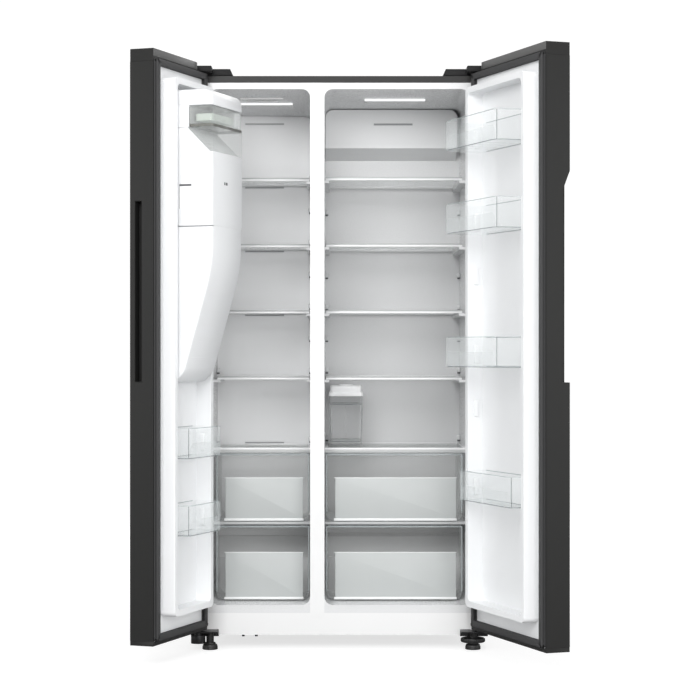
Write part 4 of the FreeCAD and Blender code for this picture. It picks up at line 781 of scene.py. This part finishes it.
def makeIceUnit(form):
    low, high = shutBox("left", "ice_housing")
    bucketLow, bucketHigh = shutBox("left", "ice_bucket")
    coverLow, coverHigh = shutBox("left", "ice_cover")
    face, x0, x1 = high.y, low.x, high.x
    breakZ, toeZ = form["breakUp"], form["toeUp"]
    rear = bucketLow.y - 0.001
    # head above the clear cover
    head = bmesh.new()
    prismInto(head, [(low.y, coverHigh.z), (face, coverHigh.z), (face, high.z), (low.y, high.z)], "x", x0,
              x1,
              {2: form["chamfer"]}, form["edge"] * 0.6, 8)
    # back part beside the cover, the rail under it and the back part beside the bucket
    boxInto(head, (x0, low.y, coverLow.z), (x1, coverLow.y, coverHigh.z + 0.002), 0.0)
    boxInto(head, (x0, low.y, bucketHigh.z + 0.0002), (x1, coverLow.y, coverLow.z), 0.0)
    boxInto(head, (x0, low.y, bucketLow.z - 0.0002), (x1, rear, bucketHigh.z + 0.0002), 0.0)
    finishPiece(head, "iceHousingHead", "left_door", whitePanel, "left", ["ice_housing"])
    rail = bmesh.new()
    ringInto(rail, "z", (x0, coverLow.y), (x1, face), 0.004, 0.006, bucketHigh.z + 0.001,
             coverLow.z - 0.0005, 0.001)
    finishPiece(rail, "iceHousingRail", "left_door", hopperRim, "left")
    # lower belly: straight, then sloping in to the toe
    belly = bmesh.new()
    prismInto(belly, [(low.y, bucketLow.z - 0.0003), (low.y, low.z), (low.y + 0.031, low.z),
                      (low.y + 0.063, toeZ),
                      (face, breakZ), (face, bucketLow.z - 0.0003)], "x", x0, x1,
              {2: 0.010, 3: 0.020, 4: 0.060}, form["edge"], 8)
    for k in range(5):
        z = toeZ + 0.05 + 0.045 * k
        y = low.y + 0.063 + (face - low.y - 0.063) * (z - toeZ) / (breakZ - toeZ)
        boxInto(belly, (x0 + 0.016, y - 0.006, z - 0.0015), (x1 - 0.016, y + 0.0002, z + 0.0015), 0.001)
    finishPiece(belly, "iceHousingBelly", "left_door", whitePanel, "left")
    makeBucket(form, bucketLow, bucketHigh)
    makeCover(form, coverLow, coverHigh)


# The bucket is white up to a sloping cut; the cut's corner is a clear window on the cubes.
def makeBucket(form, low, high):
    top, face = high.z, high.y
    cutY, cutZ = face - form["notchIn"], top - form["notchUp"]
    bm = bmesh.new()
    prismInto(bm, [(low.y, low.z), (face, low.z), (face, cutZ), (face - 0.010, cutZ), (cutY, top - 0.006),
                   (cutY - 0.004, top), (low.y, top)], "x", low.x, high.x, {}, 0.003)
    finishPiece(bm, "iceBucketBody", "ice_bucket", whitePanel, "left", ["ice_bucket"])
    window = bmesh.new()
    prismInto(window, [(face - 0.010, cutZ + 0.0005), (face, cutZ + 0.0005), (face, top),
                       (cutY - 0.003, top),
                       (cutY, top - 0.0055)], "x", low.x + 0.0005, high.x - 0.0005, {1: 0.003}, 0.003)
    finishPiece(window, "iceBucketWindow", "ice_bucket", hopperPlastic, "left")
    slots = bmesh.new()
    y0 = low.y + 0.017
    for x in (low.x - 0.0004, high.x - 0.0012):
        boxInto(slots, (x, y0, 1.323), (x + 0.0016, y0 + 0.038, 1.394), 0.0005, 1)
    finishPiece(slots, "iceBucketGrips", "ice_bucket", whiteSheet, "left")
    # Dark strips of painted shade at the top and front edge of each grip slot, and two small dark marks low
    # on the face.
    shades = bmesh.new()
    for x in (low.x - 0.0007, high.x - 0.0011):
        boxInto(shades, (x, y0, 1.388), (x + 0.0018, y0 + 0.038, 1.394), 0.0005, 1)
        boxInto(shades, (x, y0, 1.323), (x + 0.0018, y0 + 0.0012, 1.394), 0.0003, 1)
    z = low.z + 0.122
    for k, width in enumerate((0.012, 0.008)):
        boxInto(shades, (high.x - 0.106 + 0.016 * k, face - 0.0006, z),
                (high.x - 0.106 + 0.016 * k + width, face + 0.0004,
                z + 0.008), 0.0003, 1)
    finishPiece(shades, "iceBucketShades", "ice_bucket", paintedShadeDark, "left")


def makeCover(form, low, high):
    bm = bmesh.new()
    wall = form["wall"]
    part = blockOf(low, high)
    cutFaces(part, lambda m: m.z < low.z + 1e-5)
    uprights = edgesWhere(part, lambda m, d: abs(d.z) > 0.9 * d.length and m.y > high.y - 1e-4)
    bevelEdges(part, uprights, 0.012, 5)
    tops = edgesWhere(part, lambda m, d: m.z > high.z - 1e-5)
    bevelEdges(part, tops, 0.006, 3)
    bmesh.ops.solidify(part, geom=part.faces[:], thickness=wall)
    mergeInto(bm, part, walled=True)
    finishPiece(bm, "iceCoverShell", "left_door", hopperPlastic, "left", ["ice_cover"])


makeIceUnit(iceForm)
print("ice unit made")


lampForm = {"width": 0.192, "lit": {"freezer": 0.004, "fridge": 0.011}, "bezel": 0.004, "groove": 0.0012,
            "ribs": ((0.124, 0.133), (0.170, 0.099)), "ribHigh": 0.0042, "ribDeep": 0.006}


# The front strip of each lamp is the milky window, the rest its housing. A prism follows the ceiling's slope.
def makeLamps(form):
    lit, housing, ribs = bmesh.new(), bmesh.new(), bmesh.new()
    low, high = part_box("ceiling_lamps")
    for x0 in (low.x, high.x - form["width"]):
        x1 = x0 + form["width"]
        ends = []
        for y in (low.y, high.y):
            heights = [v.co.z for v in frame["nodes"]["ceiling_lamps"].data.vertices
                       if x0 - 0.001 < v.co.x < x1 + 0.001 and abs(v.co.y - y) < 0.001]
            ends.append((y, min(heights), max(heights)))
        (y0, foot0, top0), (y1, foot1, top1) = ends
        strip = form["lit"]["freezer" if x0 < 0 else "fridge"]
        cut = y0 + strip
        fall = (foot1 - foot0) / (y1 - y0)
        footCut, topCut = foot0 + fall * strip, top0 + fall * strip
        prismInto(lit, [(y0, foot0), (cut, footCut), (cut, topCut), (y0, top0)], "x", x0, x1, {}, 0.0016)
        prismInto(housing, [(cut + form["groove"], footCut), (y1, foot1), (y1, top1),
                            (cut + form["groove"], topCut)],
                  "x", x0, x1, {}, 0.0012)
        if x0 < 0:
            middle = (x0 + x1) / 2
            for place, wide in form["ribs"]:
                z = top0 - fall * (y0 - place)
                boxInto(ribs, (middle - wide / 2, place, z - form["ribHigh"]),
                        (middle + wide / 2, place + form["ribDeep"], z + 0.0008), 0.0008)
    finishPiece(lit, "lampWindows", "cabinet", lampCover, None, ["ceiling_lamps"])
    finishPiece(housing, "lampHousings", "cabinet", whiteLiner)
    # The ribs take the paler enamel so they read brighter than the ceiling, a painted highlight.
    finishPiece(ribs, "lampRibsPaintedBright", "cabinet", whiteSheet)


makeLamps(lampForm)

ventForm = {"slotWidth": 0.126, "slotHeight": 0.006, "lip": 0.0015, "slots": 6}


# A raised lip round the air slots of the two back walls, and a grey strip of painted shade in each slot.
def makeVents(form):
    lips, gaps = bmesh.new(), bmesh.new()
    ductLow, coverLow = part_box("air_duct")[0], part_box("evaporator_cover")[0]
    places = [((-0.046 + 0.398) / 2, ductLow.y, 1.574 + 0.078)]
    places += [((-0.398 - 0.0895) / 2, coverLow.y, 1.652 - 0.2077 * k) for k in range(form["slots"])]
    for x, y, z in places:
        half, tall = form["slotWidth"] / 2, form["slotHeight"] / 2
        ringInto(lips, "y", (x - half - form["lip"], z - tall - form["lip"]), (x + half + form["lip"],
                 z + tall + form["lip"]), form["lip"], 0.002, y, y - 0.0012)
        boxInto(gaps, (x - half, y + 0.0006, z - tall), (x + half, y + 0.0020, z + tall), 0.0)
    finishPiece(lips, "ventLips", "cabinet", whitePanel)
    finishPiece(gaps, "ventGaps", "cabinet", slotShade)


makeVents(ventForm)
print("lamps and vents made")


coverForm = {"edge": 0.004, "slope": 0.010, "height": 0.022, "noseFoot": 1.759}


def makeHingeCovers(form):
    bm = bmesh.new()
    low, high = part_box("hinge_covers")
    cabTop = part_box("cabinet_wrapper")[1].z
    crown = cabTop + form["height"]
    for side, sign in (("left", -1), ("right", 1)):
        outer = sign * 0.454
        inner = -0.325 if side == "left" else 0.3165
        x0, x1 = sorted((outer, inner))
        front, back = 0.0, high.y
        if side == "left":
            points = [(x0, cabTop), (x1, cabTop), (x1 - form["slope"], crown), (x0, crown)]
        else:
            points = [(x0, cabTop), (x1, cabTop), (x1, crown), (x0 + form["slope"], crown)]
        prismInto(bm, points, "y", front, back, {}, form["edge"])
        n0, n1 = sorted((sign * 0.454, sign * 0.388))
        boxInto(bm, (n0, low.y, form["noseFoot"]), (n1, 0.012, high.z), 0.003, 3)
        for k in range(3):
            x = (x0 + x1) / 2 - 0.024 + 0.024 * k
            boxInto(bm, (x - 0.004, 0.030, cabTop + 0.0215), (x + 0.004, 0.085, cabTop + 0.0225), 0.0004, 1)
    finishPiece(bm, "hingeCoverCaps", "cabinet", darkPlastic, None, ["hinge_covers"])


makeHingeCovers(coverForm)

capForm = {"start": 0.0545, "end": 0.0015, "proud": 0.0008, "foot": 0.0015, "edge": 0.0006}


# A paler moulded band along the inner side of each door's head.
def makeCapBands(form):
    for side in ("left", "right"):
        low, high = shutBox(side, side + "_door_caps")
        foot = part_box("cabinet_wrapper")[1].z + 0.004 + form["foot"]
        full = high.x - hingeX["left"] if side == "left" else hingeX["right"] - low.x
        x0, x1 = across(side, form["start"], full - form["end"])
        bm = bmesh.new()
        boxInto(bm, (x0, high.y - 0.001, foot), (x1, high.y + form["proud"], high.z - 0.001), form["edge"])
        n0, n1 = across(side, form["start"] + 0.006, form["start"] + 0.010)
        boxInto(bm, (n0, high.y, foot + 0.003), (n1, high.y + form["proud"] + 0.002, high.z - 0.002),
                form["edge"])
        finishPiece(bm, side + "CapBand", side + "_door", capEdge, side)


makeCapBands(capForm)

footForm = {"threads": 14, "threadFoot": 0.022, "threadPitch": 0.0022, "knurls": 36, "knurl": 0.0012,
            "edge": 0.0025}


# A ridged disc, as on a foot that is turned by hand.
def knurledInto(bm, centre, radius, low, high, form):
    rodInto(bm, (centre[0], centre[1], (low + high) / 2), "z", radius - form["knurl"], high - low, 64,
            form["edge"])
    for k in range(form["knurls"]):
        angle = 2 * math.pi * k / form["knurls"]
        x = centre[0] + (radius - form["knurl"]) * math.cos(angle)
        y = centre[1] + (radius - form["knurl"]) * math.sin(angle)
        rodInto(bm, (x, y, (low + high) / 2), "z", form["knurl"], high - low - 2 * form["edge"], 8)


def makeFeet(form):
    for side in ("left", "right"):
        node = side + "_foot"
        low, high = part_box(node)
        centre = ((low.x + high.x) / 2, (low.y + high.y) / 2)
        bm = bmesh.new()
        rodInto(bm, (*centre, 0.003), "z", 0.0235, 0.006, 48, 0.0015)
        rodInto(bm, (*centre, 0.011), "z", 0.024, 0.010, 48, 0.0015, 0.021)
        rodInto(bm, (*centre, 0.018), "z", 0.017, 0.006, 48, 0.001)
        rodInto(bm, (*centre, (0.018 + high.z) / 2), "z", 0.0112, high.z - 0.018, 40)
        for k in range(form["threads"]):
            z = form["threadFoot"] + form["threadPitch"] * k
            rodInto(bm, (*centre, z), "z", 0.012, 0.0011, 40, 0.0004)
        if side == "right":
            knurledInto(bm, centre, 0.0375, 0.022, 0.035, form)
        finishPiece(bm, node + "Turned", node, footPlastic, None, [node])


makeFeet(footForm)
print("hinge covers and feet made")


nicheForm = {"rim": 0.003, "corner": 0.010, "drip": 0.016, "slats": 9}


def makeDispenser(form):
    low, high = shutBox("left", "dispenser_niche")
    front = low.y
    nicheTop = high.z - 0.094
    x0, x1 = low.x + 0.008, high.x - 0.008
    frameRing = bmesh.new()
    ringInto(frameRing, "y", (low.x, low.z), (high.x, high.z), 0.006, form["corner"], front + 0.0004,
             front - form["rim"],
             0.0012)
    finishPiece(frameRing, "dispenserBezel", "left_door", graphiteCap, "left")
    display = bmesh.new()
    boxInto(display, (low.x + 0.006, front - 0.0016, nicheTop + 0.003),
            (high.x - 0.006, front + 0.0004, high.z - 0.006),
            0.0012)
    finishPiece(display, "dispenserDisplay", "left_door", displayGlass, "left")
    icons = bmesh.new()
    for k in range(5):
        x = low.x + 0.030 + 0.034 * k
        ringInto(icons, "y", (x - 0.007, nicheTop + 0.030), (x + 0.007, nicheTop + 0.044), 0.0012, 0.0065,
                 front - 0.0016,
                 front - 0.0019)
        boxInto(icons, (x - 0.003, front - 0.0019, nicheTop + 0.0355),
                (x + 0.003, front - 0.0016, nicheTop + 0.0385))
    for k in range(4):
        x = low.x + 0.060 + 0.040 * (k // 2) + 0.012 * (k % 2)
        for z in (nicheTop + 0.060, nicheTop + 0.073):
            boxInto(icons, (x, front - 0.0019, z), (x + 0.008, front - 0.0016, z + 0.0015))
    finishPiece(icons, "dispenserIcons", "left_door", iconPrint, "left")
    tray = bmesh.new()
    z0 = low.z + 0.008
    boxInto(tray, (x0 + 0.002, front + 0.003, z0), (x1 - 0.002, front + 0.100, z0 + 0.004), 0.001)
    step = (x1 - x0 - 0.012) / form["slats"]
    for k in range(form["slats"]):
        x = x0 + 0.008 + step * k
        boxInto(tray, (x, front + 0.006, z0 + 0.004), (x + 0.006, front + 0.096,
                                                       z0 + form["drip"] - 0.006), 0.0012)
    ringInto(tray, "z", (x0 + 0.002, front + 0.003), (x1 - 0.002, front + 0.100), 0.004, 0.004, z0 + 0.003,
             z0 + form["drip"] - 0.004, 0.001)
    middle = (low.x + high.x) / 2
    rodInto(tray, (middle, front + 0.082, nicheTop - 0.016), "z", 0.018, 0.026, 40, 0.002, 0.022)
    rodInto(tray, (middle, front + 0.040, nicheTop - 0.012), "z", 0.006, 0.018, 24, 0.001)
    finishPiece(tray, "dispenserTray", "left_door", footPlastic, "left")
    padLow, padHigh = shutBox("left", "dispenser_paddle")
    pad = bmesh.new()
    boxInto(pad, (middle - 0.030, padLow.y + 0.0022, padLow.z),
            (middle + 0.030, padLow.y + 0.0058, padHigh.z - 0.006),
            0.0017, 3)
    ringInto(pad, "y", (middle - 0.024, padLow.z + 0.006), (middle + 0.024, padHigh.z - 0.022), 0.002,
             0.006,
             padLow.y + 0.0025, padLow.y + 0.0012, 0.0)
    rodInto(pad, (middle, (padLow.y + padHigh.y) / 2, padHigh.z - 0.004), "x", 0.004, padHigh.x - padLow.x,
            24, 0.0005)
    finishPiece(pad, "dispenserPad", "dispenser_paddle", footPlastic, "left",
                ["dispenser_paddle"])


makeDispenser(nicheForm)
print("dispenser made")


backForm = {"ribs": 6, "ribWidth": 0.010, "screws": 5}


def makeBack(form):
    low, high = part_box("back_panel")
    bm = bmesh.new()
    ringInto(bm, "y", (low.x + 0.035, low.z + 0.04), (high.x - 0.035, high.z - 0.04), form["ribWidth"],
             0.02, high.y,
             high.y + 0.0022, 0.001)
    for k in range(form["ribs"]):
        z = low.z + 0.16 + k * (high.z - low.z - 0.32) / (form["ribs"] - 1)
        boxInto(bm, (low.x + 0.08, high.y - 0.0002, z), (high.x - 0.08, high.y + 0.002,
                                                         z + form["ribWidth"]), 0.0018, 3)
    finishPiece(bm, "backPanelRibs", "cabinet", zinc)
    heads = bmesh.new()
    for x in (low.x + 0.014, high.x - 0.014):
        for k in range(form["screws"]):
            z = low.z + 0.03 + k * (high.z - low.z - 0.06) / (form["screws"] - 1)
            rodInto(heads, (x, high.y + 0.001, z), "y", 0.0045, 0.0026, 20, 0.0008)
    coverLow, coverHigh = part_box("compressor_cover")
    for x in (coverLow.x + 0.012, 0.0, coverHigh.x - 0.012):
        for z in (coverLow.z + 0.012, coverHigh.z - 0.012):
            rodInto(heads, (x, coverHigh.y + 0.001, z), "y", 0.0045, 0.0026, 20, 0.0008)
    finishPiece(heads, "backScrews", "cabinet", screwMetal)


makeBack(backForm)
print("back made")


studio = {"floorSize": 400.0, "floorTone": 0.42, "floorGlow": 0.72, "skyStrength": 0.72, "distance": 6.1339,
          "height": 0.9073, "focal": 102.9, "sideShift": 0.0152, "upShift": 0.0031}


studioLights = {
    "frontKey": {"place": (-0.9, -4.8, 2.9), "aim": (0, 0, 0.9), "size": (2.4, 2.0), "power": 135},
    "frontFill": {"place": (1.6, -4.6, 1.3), "aim": (0, 0, 0.9), "size": (2.0, 2.4), "power": 60},
    "leftSide": {"place": (-4.2, -2.4, 1.3), "aim": (0.5, -0.2, 1.0), "size": (2.0, 2.2), "power": 34},
    "rightSide": {"place": (4.2, -2.4, 1.3), "aim": (-0.5, -0.2, 1.0), "size": (2.0, 2.2), "power": 34},
    "rearFill": {"place": (0.5, 4.0, 3.0), "aim": (0, 0.4, 1.0), "size": (3.0, 2.0), "power": 60},
}


def areaLight(name, place, aim, size, power):
    light = bpy.data.lights.new(name, "AREA")
    light.shape = "RECTANGLE"
    light.size, light.size_y = size
    light.energy = power
    lamp = bpy.data.objects.new(name, light)
    lamp.location = place
    lamp.rotation_euler = (Vector(aim) - Vector(place)).to_track_quat("-Z", "Y").to_euler()
    scene.collection.objects.link(lamp)


# The floor and the air round it look paler than the light that they give back.
def paleFloor(form):
    material, nodes, links = blankMaterial("studioFloor")
    shader, out = nodes["Principled BSDF"], nodes["Material Output"]
    setInputs(shader, {"Base Color": (form["floorTone"],) * 3 + (1,), "Roughness": 0.9,
                       "Specular IOR Level": 0.0})
    glow, path = nodes.new("ShaderNodeEmission"), nodes.new("ShaderNodeLightPath")
    both = nodes.new("ShaderNodeAddShader")
    seen = nodes.new("ShaderNodeMath")
    seen.operation = "MULTIPLY"
    seen.inputs[1].default_value = form["floorGlow"]
    links.new(path.outputs["Is Camera Ray"], seen.inputs[0])
    links.new(seen.outputs[0], glow.inputs["Strength"])
    links.new(shader.outputs[0], both.inputs[0])
    links.new(glow.outputs[0], both.inputs[1])
    links.new(both.outputs[0], out.inputs["Surface"])
    return material


def paleAir(form):
    world = bpy.data.worlds.new("studioWorld")
    world.use_nodes = True
    nodes, links = world.node_tree.nodes, world.node_tree.links
    back, path = nodes["Background"], nodes.new("ShaderNodeLightPath")
    strength = nodes.new("ShaderNodeMapRange")
    setInputs(strength, {"To Min": form["skyStrength"], "To Max": 1.05})
    back.inputs["Color"].default_value = (1, 1, 1, 1)
    links.new(path.outputs["Is Camera Ray"], strength.inputs["Value"])
    links.new(strength.outputs["Result"], back.inputs["Strength"])
    scene.world = world


def makeStudio(form):
    floor = bmesh.new()
    bmesh.ops.create_grid(floor, x_segments=1, y_segments=1, size=form["floorSize"] / 2)
    mesh = bpy.data.meshes.new("studioFloor")
    floor.to_mesh(mesh)
    floor.free()
    mesh.materials.append(paleFloor(form))
    plane = bpy.data.objects.new("studioFloor", mesh)
    scene.collection.objects.link(plane)
    paleAir(form)
    for name, light in studioLights.items():
        areaLight(name, **light)
    eye = bpy.data.cameras.new("studioCamera")
    eye.lens = form["focal"]
    eye.sensor_width = 36
    eye.shift_x, eye.shift_y = form["sideShift"], form["upShift"]
    eye.clip_end = 1000
    camera = bpy.data.objects.new("studioCamera", eye)
    camera.location = (0, -form["distance"], form["height"])
    camera.rotation_euler = (math.radians(90), 0, 0)
    scene.collection.objects.link(camera)
    scene.camera = camera
    scene.view_settings.view_transform = "Standard"
    scene.cycles.transparent_max_bounces = 32


makeStudio(studio)
print("studio made")
